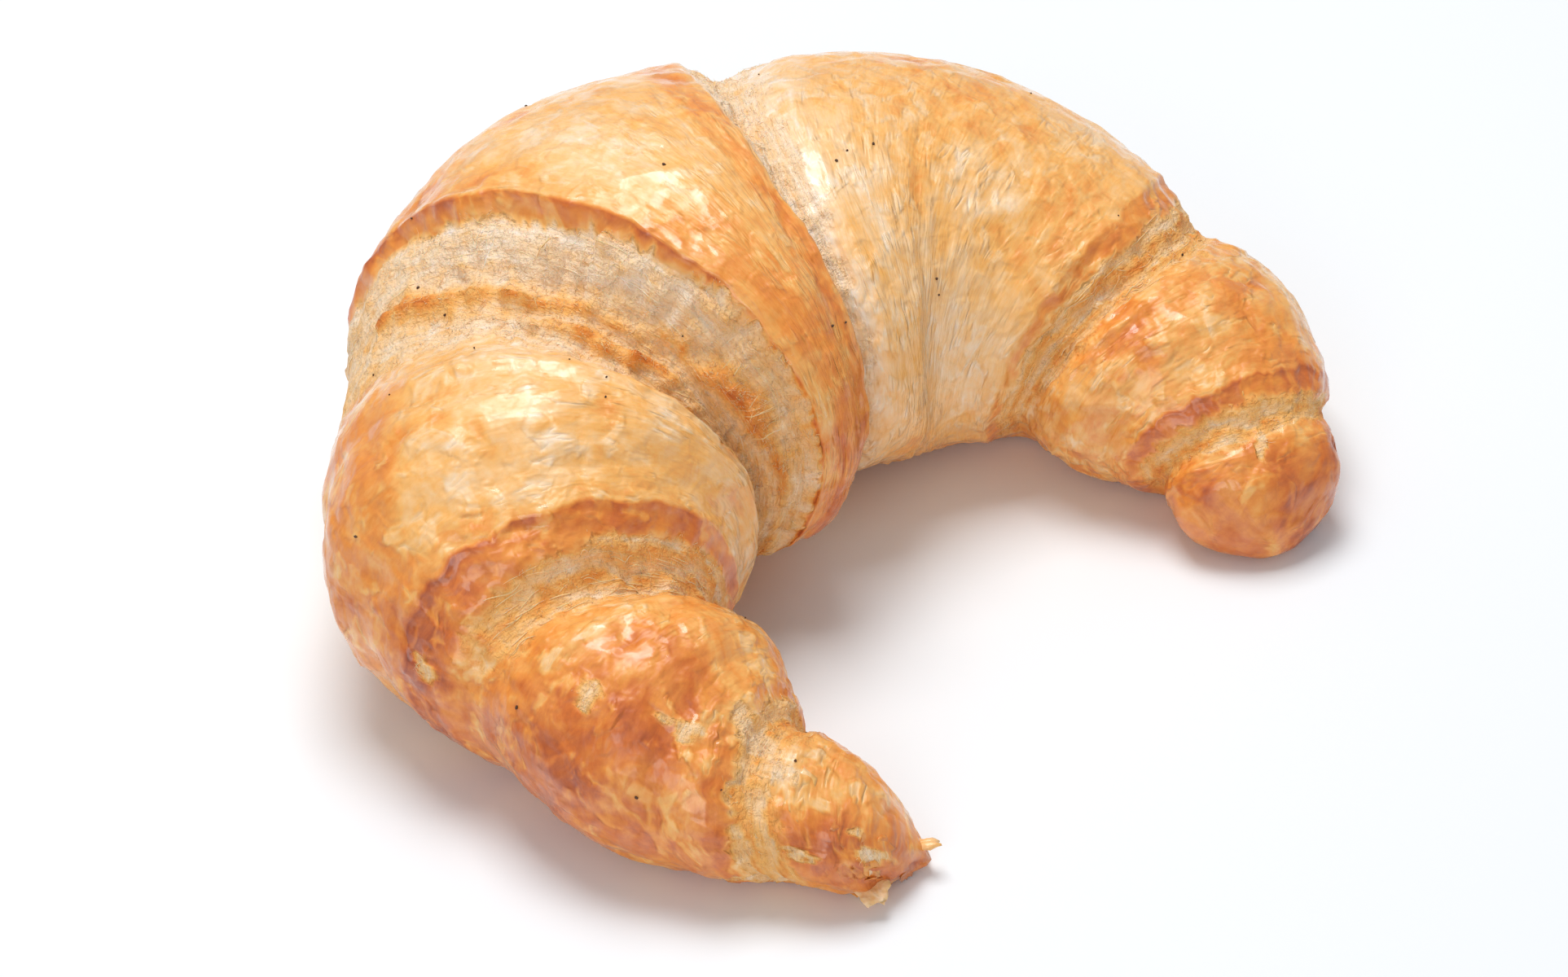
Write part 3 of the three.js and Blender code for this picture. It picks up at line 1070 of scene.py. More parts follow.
    def _bake(self, angle: Array, relief: Array) -> Array:
        """Brown the whole skin.

        Args:
            angle: The points' angles round the roll.
            relief: How far each point stands out.

        Returns:
            How browned each point is, with painted shade in the torn crumb's hollows, at its leaves' roots
            and on the slender arm's lower outer side: 0 is raw crumb, 1 is burnt.
        """
        bake = self.baking
        creases = self._creases(angle)
        tone = self._crust_tone(angle)
        crumb = self._crumb_tone(angle, relief + creases)
        tone = tone + (crumb - tone) * smooth_step(*bake.torn_between, self.torn)
        uneven = Pattern.BURN.grain.layered(self.flow / bake.burn_cell, 2)
        burn = bake.burn * (bake.burn_least + bake.burn_uneven * uneven)
        tone = tone + burn * smooth_step(*bake.burn_between, creases)
        tone = tone + bake.glow * smooth_step(*bake.glow_between, self._creases(angle, bake.glow_widen))
        most = bake.darkest_plain
        tone = np.where(tone > most, most + bake.beyond_plain * (tone - most), tone)
        under = 1 - self.form.exposed(angle)
        return np.clip(tone + (bake.underside - tone) * under, 0, 1)

    def _crust_tone(self, angle: Array) -> Array:
        """Brown the crust: wraps, blisters, lips and spots, two of which are painted shade on the slender
        arm's lower outer side.

        Args:
            angle: The points' angles round the roll.

        Returns:
            The tone of each point where it is crust.
        """
        bake = self.baking
        tone = self._by_wrap(bake.wraps, angle) + bake.upward * self.normals[..., 2] + bake.level
        tone = tone + bake.crinkled * self.crinkle
        browned = bake.blister * np.minimum(self.blister, bake.blister_cap)
        for edge in self.edges:
            out = self.out(edge, self.place, angle)
            band = around(edge.band, angle)
            line = around(edge.line, angle)
            if edge is MIDDLE_LEFT:
                line = line * (1 - bake.faint * bump(angle / DEGREE - bake.faint_at, bake.faint_half))
            rim = bake.rim * line * bump(out, bake.rim_width)
            rim = rim + bake.behind * line * bump(out - bake.behind_out, bake.behind_width)
            face = smooth_step(0, bake.face_starts, out) * (1 - smooth_step(band, band + 0.6, out))
            browned = np.maximum(browned, rim + bake.face * face)
        beside = self.out(MIDDLE_RIGHT, self.place, angle)
        seam = bump(beside - bake.seam_out, bake.seam_width) * smooth_step(1, -1, beside)
        pale = smooth_step(*bake.pale_ends, beside) * smooth_step(-0.5, 0.5, beside)
        tone = tone + browned + bake.seam * seam + bake.pale * pale
        for spot in BAKE_AND_SHADE_SPOTS:
            tone = tone + spot.tone * np.exp(-self._away(spot, angle))
        return tone

    def _crumb_tone(self, angle: Array, relief: Array) -> Array:
        """Tone the torn dough: its leaves, darker at their roots as painted shade, the wall under the
        middle wrap, and painted shade in its hollows.

        Args:
            angle: The points' angles round the roll.
            relief: How far each point stands out, without the creases.

        Returns:
            The tone of each point where it is torn.
        """
        bake = self.baking
        tones = np.array([edge.tone for edge in self.edges])
        halfway = [0.5 * (e.along[1] + f.along[1]) for e, f in zip(self.edges, self.edges[1:])]
        tone = tones[np.searchsorted(halfway, self.place)]
        tone = tone + bake.mottle * Pattern.MOTTLE.grain.layered(self.flow / bake.mottle_cell, 3)
        low = self.out(MIDDLE_LEFT, self.place, angle)
        golden = bake.gold_low * smooth_step(*bake.gold_low_from, low)
        golden = golden + bake.gold_inner * smooth_step(*bake.gold_inner_from, angle / DEGREE)
        near = smooth_step(*bake.gold_ends, low) * smooth_step(*bake.gold_starts, low)
        # The leaf term pales each leaf's end and darkens its root as painted shade.
        tone = tone + bake.gold * golden * near + bake.leaf * (self._leaves() - bake.leaf_mean)
        fluff = Pattern.FLUFF.grain.layered(self.flow / bake.fluff_cell, 3)
        tone = tone + bake.fluff * fluff * smooth_step(*self.crumb.woolly_from, self.place)
        # Painted shade: the crumb darkens where its relief sinks into hollows.
        tone = tone + bake.hollow * np.clip(-bake.hollow_shade_from - relief, 0, bake.hollow_shade_cap)
        return tone + (bake.flaky - tone) * self.flaky

    @staticmethod
    def grid_normals(points: Array) -> Array:
        """Give the outward normals of a grid of points that closes on itself round the roll.

        Args:
            points: The grid.

        Returns:
            The normals.
        """
        round_it = np.roll(points, -1, axis=1) - np.roll(points, 1, axis=1)
        along_it = np.gradient(points, axis=0)
        normals = np.cross(round_it, along_it)
        length = np.linalg.norm(normals, axis=-1, keepdims=True)
        return normals / np.maximum(length, 1e-9)

    def row_of(self, edge: BrownedEdge, out: Array) -> Array:
        """Give the grid row, as a fraction, at a distance out from an edge."""
        return np.interp(edge.along[1] + edge.facing.value * out, self.spine, np.arange(len(self.spine)))

    def row_at(self, place: Array, angle: Array) -> Array:
        """Give the grid row, as a fraction, at a place and angle.

        Args:
            place: Places along the roll.
            angle: Angles round it, in radians.

        Returns:
            The rows.
        """
        column = np.round(self.column_at(angle)).astype(int) % len(self.angles)
        rows = np.arange(len(self.spine))
        flat = [
            np.interp(p, self.place[:, c], rows)
            for p, c in zip(np.ravel(place), np.ravel(column))
        ]
        return np.reshape(flat, np.shape(place))

    def column_at(self, angle: Array) -> Array:
        """Give the grid column, as a fraction, at an angle.

        Args:
            angle: Angles round the roll, in radians.

        Returns:
            The columns.
        """
        turn = (angle - self.angles[0]) % (2 * math.pi)
        known = np.append(self.angles - self.angles[0], 2 * math.pi)
        return np.interp(turn, known, np.arange(len(known)))

    def sample(self, row: Array, column: Array, values: Array) -> Array:
        """Read a grid of values between its rows and columns.

        Args:
            row: Rows, as fractions.
            column: Columns, as fractions.
            values: The grid, with or without a last dimension of its own.

        Returns:
            The values there.
        """
        row = np.clip(row, 0, len(self.spine) - 1.001)
        r = np.floor(row).astype(int)
        c = np.floor(column).astype(int)
        u = row - r
        v = column - c
        if values.ndim > 2:
            u, v = u[..., None], v[..., None]
        count = len(self.angles)
        c, after = c % count, (c + 1) % count
        near = values[r, c] * (1 - v) + values[r, after] * v
        far = values[r + 1, c] * (1 - v) + values[r + 1, after] * v
        return near * (1 - u) + far * u


def make_piece(
    name: str,
    points: Array,
    faces: Faces | Array,
    material: bpy.types.Material,
    traits: dict[str, Array],
) -> bpy.types.Object:
    """Make a smooth mesh piece that rides with the croissant.

    Args:
        name: The piece's name.
        points: Its corners in millimetres.
        faces: The corners of each face.
        material: Its finish.
        traits: Values of each corner that the finish reads, by name.

    Returns:
        The piece.
    """
    mesh = bpy.data.meshes.new(name)
    corners = np.asarray(points).reshape(-1, 3) * MM
    mesh.from_pydata(corners.tolist(), [], faces)
    mesh.validate()
    mesh.shade_smooth()
    for trait, values in traits.items():
        kind, key = ("FLOAT_VECTOR", "vector") if values.ndim > 1 else ("FLOAT", "value")
        layer = mesh.attributes.new(trait, kind, "POINT")
        layer.data.foreach_set(key, np.ascontiguousarray(values, np.float32).ravel())
    mesh.materials.append(material)
    piece = bpy.data.objects.new(name, mesh)
    bpy.context.scene.collection.objects.link(piece)
    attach(piece, BODY)
    LOG.info("%s: %d corners, %d faces", name, len(mesh.vertices), len(mesh.polygons))
    return piece


class NodeDraft:
    """Places and joins the nodes of one shader tree."""

    def __init__(self, tree: bpy.types.NodeTree) -> None:
        """Start on a tree."""
        self.tree = tree

    def add(self, kind: str, **settings: object) -> bpy.types.Node:
        """Add a node and set its own options.

        Args:
            kind: The node's type name.
            settings: Its own options by name.

        Returns:
            The node.
        """
        node = self.tree.nodes.new(kind)
        for name, value in settings.items():
            setattr(node, name, value)
        return node

    def feed(self, node: bpy.types.Node, **values: object) -> bpy.types.Node:
        """Set or link a node's inputs, named with underscores for spaces.

        Args:
            node: The node.
            values: A number, colour or socket for each input.

        Returns:
            The same node.
        """
        for name, value in values.items():
            socket = node.inputs[name.replace("_", " ")]
            if isinstance(value, bpy.types.NodeSocket):
                self.tree.links.new(value, socket)
            else:
                socket.default_value = value
        return node

    def math(self, operation: str, *values: object, clamp: bool = False) -> bpy.types.NodeSocket:
        """Work out a number from numbers or sockets.

        Args:
            operation: The operation's name.
            values: What it works on.
            clamp: Whether the result is held between 0 and 1.

        Returns:
            The result.
        """
        node = self.add("ShaderNodeMath", operation=operation, use_clamp=clamp)
        for socket, value in zip(node.inputs, values):
            if isinstance(value, bpy.types.NodeSocket):
                self.tree.links.new(value, socket)
            else:
                socket.default_value = value
        return node.outputs[0]

    def total(self, *values: object) -> bpy.types.NodeSocket:
        """Add up numbers or sockets.

        Args:
            values: What is added.

        Returns:
            The sum.
        """
        result = values[0]
        for value in values[1:]:
            result = self.math("ADD", result, value)
        return result

    def swing(self, value: bpy.types.NodeSocket, amount: float) -> bpy.types.NodeSocket:
        """Turn a value round 0.5 into one round 0, amount strong."""
        return self.math("MULTIPLY", self.math("SUBTRACT", value, 0.5), amount)

    def ease(self, value: object, low: float, high: float) -> bpy.types.NodeSocket:
        """Ease a value from 0 at low to 1 at high.

        Args:
            value: The value.
            low: Where the result is 0.
            high: Where it is 1.

        Returns:
            The eased value.
        """
        node = self.add("ShaderNodeMapRange", interpolation_type="SMOOTHSTEP")
        self.feed(node, Value=value, From_Min=low, From_Max=high)
        return node.outputs["Result"]

    def trait(self, name: str, output: str = "Fac") -> bpy.types.NodeSocket:
        """Read a value of the mesh's corners."""
        return self.add("ShaderNodeAttribute", attribute_name=name).outputs[output]

    def mix(
        self,
        factor: bpy.types.NodeSocket,
        first: tuple[float, float, float, float],
        second: tuple[float, float, float, float],
    ) -> bpy.types.NodeSocket:
        """Mix two colours.

        Args:
            factor: 0 for the first colour and 1 for the second.
            first: The first colour.
            second: The second colour.

        Returns:
            The mixed colour.
        """
        node = self.add("ShaderNodeMix", data_type="RGBA")
        self.tree.links.new(factor, node.inputs["Factor"])
        colours = [socket for socket in node.inputs if socket.type == "RGBA"]
        colours[0].default_value = first
        colours[1].default_value = second
        return next(socket for socket in node.outputs if socket.type == "RGBA")

    def place(self, group: bpy.types.NodeTree, **values: object) -> bpy.types.Node:
        """Place a shared group with its own values."""
        node = self.add("ShaderNodeGroup", node_tree=group)
        return self.feed(node, **values)


class GroupDraft(NodeDraft):
    """A shared shader group with named inputs and outputs."""

    def __init__(self, name: str, inputs: dict[str, float], outputs: dict[str, str]) -> None:
        """Make the group and its sockets.

        Args:
            name: The group's name.
            inputs: The number inputs and their defaults.
            outputs: The outputs and their kinds.
        """
        super().__init__(bpy.data.node_groups.new(name, "ShaderNodeTree"))
        for title, value in inputs.items():
            socket = self.tree.interface.new_socket(
                name=title, in_out="INPUT", socket_type="NodeSocketFloat"
            )
            socket.default_value = value
        for title, kind in outputs.items():
            self.tree.interface.new_socket(name=title, in_out="OUTPUT", socket_type=kind)
        self.given = self.add("NodeGroupInput").outputs
        self.taken = self.add("NodeGroupOutput").inputs

    def give(self, name: str, value: bpy.types.NodeSocket) -> None:
        """Send a socket out of the group."""
        self.tree.links.new(value, self.taken[name])


def start_material(name: str) -> tuple[bpy.types.Material, NodeDraft]:
    """Start a material with an empty tree.

    Args:
        name: The material's name.

    Returns:
        The material and the draft of its tree.
    """
    material = bpy.data.materials.new(name)
    material.use_nodes = True
    material.node_tree.nodes.clear()
    return material, NodeDraft(material.node_tree)


@dataclass
class Effects:
    """The shader groups that the finishes share."""

    flow_grain: bpy.types.NodeTree = field(init=False)
    blotches: bpy.types.NodeTree = field(init=False)
    baked_tone: bpy.types.NodeTree = field(init=False)

    def __post_init__(self) -> None:
        """Build each group once."""
        self.flow_grain = self._flow_grain()
        self.blotches = self._blotches()
        self.baked_tone = self._baked_tone()

    @staticmethod
    def _flow_grain() -> bpy.types.NodeTree:
        """Build noise that is drawn out along the wraps' edges.

        Returns:
            The group.
        """
        inputs = {"Across": 2.0, "Along": 12.0, "Detail": 3.0, "Warp": 0.5, "Shift": 0.0}
        draft = GroupDraft("FlowGrain", inputs, {"Grain": "NodeSocketFloat"})
        across = draft.math("DIVIDE", 1.0, draft.given["Across"])
        along = draft.math("DIVIDE", 1.0, draft.given["Along"])
        scale = draft.feed(draft.add("ShaderNodeCombineXYZ"), X=across, Y=along, Z=along)
        vector = draft.add("ShaderNodeVectorMath", operation="MULTIPLY")
        draft.tree.links.new(draft.trait("flow", "Vector"), vector.inputs[0])
        draft.tree.links.new(scale.outputs[0], vector.inputs[1])
        moved = draft.add("ShaderNodeVectorMath", operation="ADD")
        draft.tree.links.new(vector.outputs[0], moved.inputs[0])
        draft.tree.links.new(draft.given["Shift"], moved.inputs[1])
        noise = draft.add("ShaderNodeTexNoise")
        draft.feed(noise, Vector=moved.outputs[0], Scale=1.0, Roughness=0.6)
        draft.feed(noise, Detail=draft.given["Detail"], Distortion=draft.given["Warp"])
        draft.give("Grain", noise.outputs["Fac"])
        return draft.tree

    @staticmethod
    def _blotches() -> bpy.types.NodeTree:
        """Build noise that is as long as it is wide.

        Returns:
            The group.
        """
        inputs = {"Size": 8.0, "Detail": 3.0, "Warp": 0.6, "Shift": 0.0}
        draft = GroupDraft("Blotches", inputs, {"Blotch": "NodeSocketFloat"})
        scale = draft.math("DIVIDE", 1 / MM, draft.given["Size"])
        vector = draft.add("ShaderNodeVectorMath", operation="ADD")
        place = draft.add("ShaderNodeTexCoord").outputs["Object"]
        draft.tree.links.new(place, vector.inputs[0])
        draft.tree.links.new(draft.given["Shift"], vector.inputs[1])
        noise = draft.add("ShaderNodeTexNoise")
        draft.feed(noise, Vector=vector.outputs[0], Scale=scale, Roughness=0.55)
        draft.feed(noise, Detail=draft.given["Detail"], Distortion=draft.given["Warp"])
        draft.give("Blotch", noise.outputs["Fac"])
        return draft.tree

    @staticmethod
    def _baked_tone() -> bpy.types.NodeTree:
        """Build the colours from raw crumb to burnt crust.

        Returns:
            The group.
        """
        draft = GroupDraft("BakedTone", {"Tone": 0.5}, {"Color": "NodeSocketColor"})
        ramp = draft.add("ShaderNodeValToRGB")
        stops = (
            (0.0, paint(255, 238, 222)),
            (0.12, paint(253, 224, 190)),
            (0.28, paint(251, 203, 144)),
            (0.42, paint(248, 183, 100)),
            (0.56, paint(239, 151, 64)),
            (0.72, paint(214, 114, 44)),
            (0.86, paint(172, 78, 38)),
            (1.0, paint(104, 50, 32)),
        )
        band = ramp.color_ramp
        while len(band.elements) < len(stops):
            band.elements.new(0.5)
        for element, (position, colour) in zip(band.elements, stops):
            element.position = position
            element.color = colour
        draft.tree.links.new(draft.given["Tone"], ramp.inputs[0])
        draft.give("Color", ramp.outputs["Color"])
        return draft.tree


@dataclass(frozen=True)
class CrustFinish:
    """Egg-washed baked crust that turns into matt crumb where the dough is torn."""

    name: str = "baked_crust"
    blotch: float = 0.42
    streak: float = 0.16
    fine: float = 0.14
    crest: float = 0.2
    grained: float = 0.4
    coat_roughness: float = 0.1
    fold_height: float = 0.3
    dent_height: float = 0.55
    streak_height: float = 0.2
    crumb_height: float = 0.5
    wool_share: float = 1.4
    inner_glow: float = 0.12
    glow_depth: float = 0.0012
    glow_colour: Triple = (1.0, 0.55, 0.25)
    ragged_tear: float = 0.7
    tear_between: Pair = (0.28, 0.6)
    gloss_between: Pair = (0.35, 0.65)
    least_coat: float = 0.1
    crust_roughness: float = 0.42
    torn_roughness: float = 0.42
    film_between: Pair = (0.42, 0.72)
    film_tone: float = -0.1
    fold_sharpness: float = 6.0
    fold_between: Pair = (0.42, 0.62)

    def make(self, effects: Effects) -> bpy.types.Material:
        """Build the material.

        Args:
            effects: The shared shader groups.

        Returns:
            The material.
        """
        material, draft = start_material(self.name)
        ragged = draft.place(effects.blotches, Size=1.6, Detail=4.0, Warp=0.3).outputs[0]
        torn = draft.total(draft.trait("torn"), draft.swing(ragged, self.ragged_tear))
        torn = draft.ease(torn, *self.tear_between)
        sound = draft.math("SUBTRACT", 1.0, torn)
        tone = self._tone(draft, effects, sound)
        colour = draft.place(effects.baked_tone, Tone=tone).outputs[0]
        shader = draft.add("ShaderNodeBsdfPrincipled")
        draft.feed(shader, Base_Color=colour, Coat_Roughness=self.coat_roughness)
        draft.feed(shader, Subsurface_Weight=self.inner_glow, Subsurface_Scale=self.glow_depth)
        draft.feed(shader, Subsurface_Radius=self.glow_colour)
        gloss = draft.place(effects.blotches, Size=5.0, Detail=3.0, Warp=1.0, Shift=3.0).outputs[0]
        coat = draft.math("MULTIPLY", sound, draft.ease(gloss, *self.gloss_between))
        coat = draft.math("MULTIPLY_ADD", coat, 1 - self.least_coat, self.least_coat)
        rough = draft.math("MULTIPLY_ADD", torn, self.torn_roughness, self.crust_roughness)
        draft.feed(shader, Coat_Weight=coat, Roughness=rough)
        draft.feed(shader, Normal=self._relief(draft, effects, torn, sound))
        output = draft.add("ShaderNodeOutputMaterial")
        draft.feed(output, Surface=shader.outputs[0])
        return material

    def _tone(
        self, draft: NodeDraft, effects: Effects, sound: bpy.types.NodeSocket
    ) -> bpy.types.NodeSocket:
        """Vary the baked tone with blotches, streaks and thin pale films.

        Args:
            draft: The material's tree.
            effects: The shared shader groups.
            sound: Where the crust is whole.

        Returns:
            The tone.
        """
        large = draft.place(effects.blotches, Size=9.0, Detail=5.0, Warp=1.4).outputs[0]
        small = draft.place(effects.blotches, Size=2.6, Detail=4.0, Warp=0.8, Shift=1.0).outputs[0]
        streak = draft.place(effects.flow_grain, Across=2.4, Along=6.5, Warp=1.6).outputs[0]
        fine = draft.place(
            effects.flow_grain, Across=0.7, Along=2.6, Detail=4.0, Warp=1.4, Shift=4.0
        ).outputs[0]
        film = draft.place(
            effects.flow_grain, Across=4.5, Along=9.0, Detail=5.0, Warp=1.6, Shift=9.0
        ).outputs[0]
        loose = draft.math("MULTIPLY_ADD", draft.trait("crinkle"), 0.9, 0.1)
        crest = draft.ease(self._fold(draft, effects), 0.2, 1.0)
        crest = draft.math("MULTIPLY", crest, loose)
        vary = draft.total(
            draft.swing(large, self.blotch),
            draft.swing(streak, self.streak),
            draft.swing(fine, self.fine),
            draft.swing(small, self.fine),
            draft.math("MULTIPLY", draft.ease(film, *self.film_between), self.film_tone),
            draft.math("MULTIPLY", crest, -self.crest),
        )
        layer = draft.place(
            effects.flow_grain, Across=0.6, Along=5.0, Detail=4.0, Warp=0.8, Shift=5.0
        ).outputs[0]
        torn = draft.math("SUBTRACT", 1.0, sound)
        crumb = draft.math("MULTIPLY", draft.swing(layer, self.grained), torn)
        vary = draft.math("MULTIPLY", vary, draft.math("MULTIPLY_ADD", sound, 0.65, 0.35))
        return draft.total(draft.trait("bake"), vary, crumb)

    def _relief(
        self,
        draft: NodeDraft,
        effects: Effects,
        torn: bpy.types.NodeSocket,
        sound: bpy.types.NodeSocket,
    ) -> bpy.types.NodeSocket:
        """Fold the crust's film and roughen the crumb.

        Args:
            draft: The material's tree.
            effects: The shared shader groups.
            torn: Where the crumb is bare.
            sound: Where the crust is whole.

        Returns:
            The bent normal.
        """
        loose = draft.math("MULTIPLY_ADD", draft.trait("crinkle"), 0.7, 0.3)
        fold = self._fold(draft, effects)
        skin = draft.math("MULTIPLY", draft.math("MULTIPLY", fold, loose), self.fold_height)
        soft = draft.place(effects.blotches, Size=2.8, Detail=1.0, Warp=0.6, Shift=5.0).outputs[0]
        streak = draft.place(
            effects.flow_grain, Across=1.0, Along=4.5, Detail=1.0, Warp=0.4, Shift=12.0
        ).outputs[0]
        skin = draft.total(
            skin,
            draft.math("MULTIPLY", soft, self.dent_height),
            draft.math("MULTIPLY", streak, self.streak_height),
        )
        layer = draft.place(
            effects.flow_grain, Across=0.5, Along=4.0, Detail=3.0, Warp=0.7, Shift=5.0
        ).outputs[0]
        wool = draft.place(effects.blotches, Size=0.8, Detail=3.0, Warp=0.4, Shift=8.0).outputs[0]
        crumb = draft.total(
            draft.math("MULTIPLY", layer, self.crumb_height),
            draft.math("MULTIPLY", wool, self.wool_share * self.crumb_height),
        )
        height = draft.total(draft.math("MULTIPLY", skin, sound), draft.math("MULTIPLY", crumb, torn))
        node = draft.add("ShaderNodeBump")
        draft.feed(node, Height=height, Strength=1.0, Distance=MM)
        return node.outputs[0]

    def _fold(self, draft: NodeDraft, effects: Effects) -> bpy.types.NodeSocket:
        """Give curved folds of film, 0 in between and 1 on their sharp crests.

        Args:
            draft: The material's tree.
            effects: The shared shader groups.

        Returns:
            The folds' mask.
        """
        grain = draft.place(
            effects.flow_grain, Across=2.6, Along=7.0, Detail=2.0, Warp=0.5, Shift=6.0
        ).outputs[0]
        away = draft.math("ABSOLUTE", draft.math("SUBTRACT", grain, 0.5))
        away = draft.math("MULTIPLY", away, self.fold_sharpness)
        crest = draft.math("SUBTRACT", 1.0, away, clamp=True)
        where = draft.place(effects.blotches, Size=6.0, Detail=2.0, Warp=0.8, Shift=7.0).outputs[0]
        return draft.math("MULTIPLY", crest, draft.ease(where, *self.fold_between))


@dataclass(frozen=True)
class FibreFinish:
    """Pale matt fibres of torn dough that let a little light through."""

    name: str = "dough_fibre"
    roughness: float = 0.75
    vary: float = 0.16
    inner_glow: float = 0.3
    glow_depth: float = 0.001
    grain_depth: float = 0.2

    def make(self, effects: Effects) -> bpy.types.Material:
        """Build the material.

        Args:
            effects: The shared shader groups.

        Returns:
            The material.
        """
        material, draft = start_material(self.name)
        mottle = draft.place(effects.blotches, Size=1.4, Detail=3.0, Warp=0.4).outputs[0]
        tone = draft.total(draft.trait("bake"), draft.swing(mottle, self.vary))
        colour = draft.place(effects.baked_tone, Tone=tone).outputs[0]
        grain = draft.place(effects.flow_grain, Across=0.3, Along=1.5, Detail=2.0).outputs[0]
        relief = draft.add("ShaderNodeBump")
        draft.feed(relief, Height=grain, Strength=0.5, Distance=self.grain_depth * MM)
        shader = draft.add("ShaderNodeBsdfPrincipled")
        draft.feed(shader, Base_Color=colour, Roughness=self.roughness, Normal=relief.outputs[0])
        draft.feed(shader, Subsurface_Weight=self.inner_glow, Subsurface_Scale=self.glow_depth)
        draft.feed(draft.add("ShaderNodeOutputMaterial"), Surface=shader.outputs[0])
        return material


@dataclass(frozen=True)
class SpeckFinish:
    """Burnt grain, nearly black, with a rough skin."""

    name: str = "burnt_speck"
    dark: tuple[int, int, int] = (52, 34, 22)
    light: tuple[int, int, int] = (98, 62, 36)
    roughness: float = 0.6
    grain_depth: float = 0.15

    def make(self, effects: Effects) -> bpy.types.Material:
        """Build the material.

        Args:
            effects: The shared shader groups.

        Returns:
            The material.
        """
        material, draft = start_material(self.name)
        mottle = draft.place(effects.blotches, Size=0.3, Detail=3.0, Warp=0.4).outputs[0]
        result = draft.mix(mottle, paint(*self.dark), paint(*self.light))
        relief = draft.feed(draft.add("ShaderNodeBump"), Height=mottle, Distance=self.grain_depth * MM)
        shader = draft.add("ShaderNodeBsdfPrincipled")
        draft.feed(shader, Base_Color=result, Roughness=self.roughness, Normal=relief.outputs[0])
        draft.feed(draft.add("ShaderNodeOutputMaterial"), Surface=shader.outputs[0])
        return material


@dataclass(frozen=True)
class FloorFinish:
    """A plain pale table top."""

    name: str = "pale_floor"
    shade: tuple[int, int, int] = (244, 248, 252)
    uneven: int = 2

    def make(self) -> bpy.types.Material:
        """Build the material, with a faint unevenness.

        Returns:
            The material.
        """
        material, draft = start_material(self.name)
        noise = draft.add("ShaderNodeTexNoise")
        draft.feed(noise, Scale=40.0, Detail=2.0)
        duller = paint(*(value - self.uneven for value in self.shade))
        colour = draft.mix(noise.outputs["Fac"], paint(*self.shade), duller)
        shader = draft.add("ShaderNodeBsdfPrincipled")
        draft.feed(shader, Base_Color=colour, Roughness=0.7)
        draft.feed(draft.add("ShaderNodeOutputMaterial"), Surface=shader.outputs[0])
        return material


@dataclass
class CroissantSkin:
    """The whole croissant as one closed mesh of fine quads."""

    skin: Skin

    def build(self, material: bpy.types.Material) -> bpy.types.Object:
        """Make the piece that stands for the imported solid.

        Args:
            material: The crust's finish.

        Returns:
            The piece.
        """
        rows, count = self.skin.torn.shape
        points = self.skin.points.reshape(-1, 3)
        row, column = np.meshgrid(np.arange(rows - 1), np.arange(count), indexing="ij")
        a = row * count + column
        b = row * count + (column + 1) % count
        quads = np.stack([a, b, b + count, a + count], axis=-1).reshape(-1, 4)
        poles = self.skin.form.point(
            np.array([-self.skin.form.left, self.skin.form.whole - self.skin.form.left]),
            np.zeros(2),
            np.zeros(2),
        )
        near = np.arange(count)
        first = [(i, rows * count, (i + 1) % count) for i in near]
        base = (rows - 1) * count
        last = [(base + (i + 1) % count, rows * count + 1, base + i) for i in near]
        traits = {
            "torn": self._with_poles(self.skin.torn.reshape(-1)),
            # The bake trait holds browning and some painted shade.
            "bake": self._with_poles(self.skin.bake.reshape(-1)),
            "crinkle": self._with_poles(self.skin.crinkle.reshape(-1)),
            "flow": self._with_poles(self.skin.flow.reshape(-1, 3)),
        }
        faces = [*quads.tolist(), *first, *last]
        piece = make_piece("croissant_skin", np.vstack([points, poles]), faces, material, traits)
        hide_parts(NODE)
        return piece

    def _with_poles(self, values: Array) -> Array:
        """Add the two tips' values to a list of the grid's."""
        return np.concatenate([values, values[:1], values[-1:]])


def wrap_tubes(paths: Array, radii: Array, sides: int) -> tuple[Array, Faces]:
    """Wrap thin closed tubes round paths.

    Args:
        paths: The points of each path, all with the same count.
        radii: The tube's radius at each point of each path.
        sides: How many sides each tube has.

    Returns:
        All corners, and the faces that join them.
    """
    count, steps = radii.shape
    run = np.gradient(paths, axis=1)
    run = run / np.maximum(np.linalg.norm(run, axis=-1, keepdims=True), 1e-9)
    lead = np.where(np.abs(run[..., 2:3]) > 0.9, (1.0, 0, 0), (0, 0, 1.0))
    side = np.cross(run, lead)
    side = side / np.linalg.norm(side, axis=-1, keepdims=True)
    over = np.cross(side, run)
    turns = 2 * math.pi * np.arange(sides) / sides
    ring = side[:, :, None] * np.cos(turns)[:, None] + over[:, :, None] * np.sin(turns)[:, None]
    corners = paths[:, :, None] + ring * radii[:, :, None, None]
    index = np.arange(count * steps * sides).reshape(count, steps, sides)
    here, there = index[:, :-1], index[:, 1:]
    quads = np.stack([here, np.roll(here, 1, -1), np.roll(there, 1, -1), there], axis=-1)
    faces = quads.reshape(-1, 4).tolist()
    faces += index[:, 0].tolist()
    faces += index[:, -1, ::-1].tolist()
    return corners.reshape(-1, 3), faces


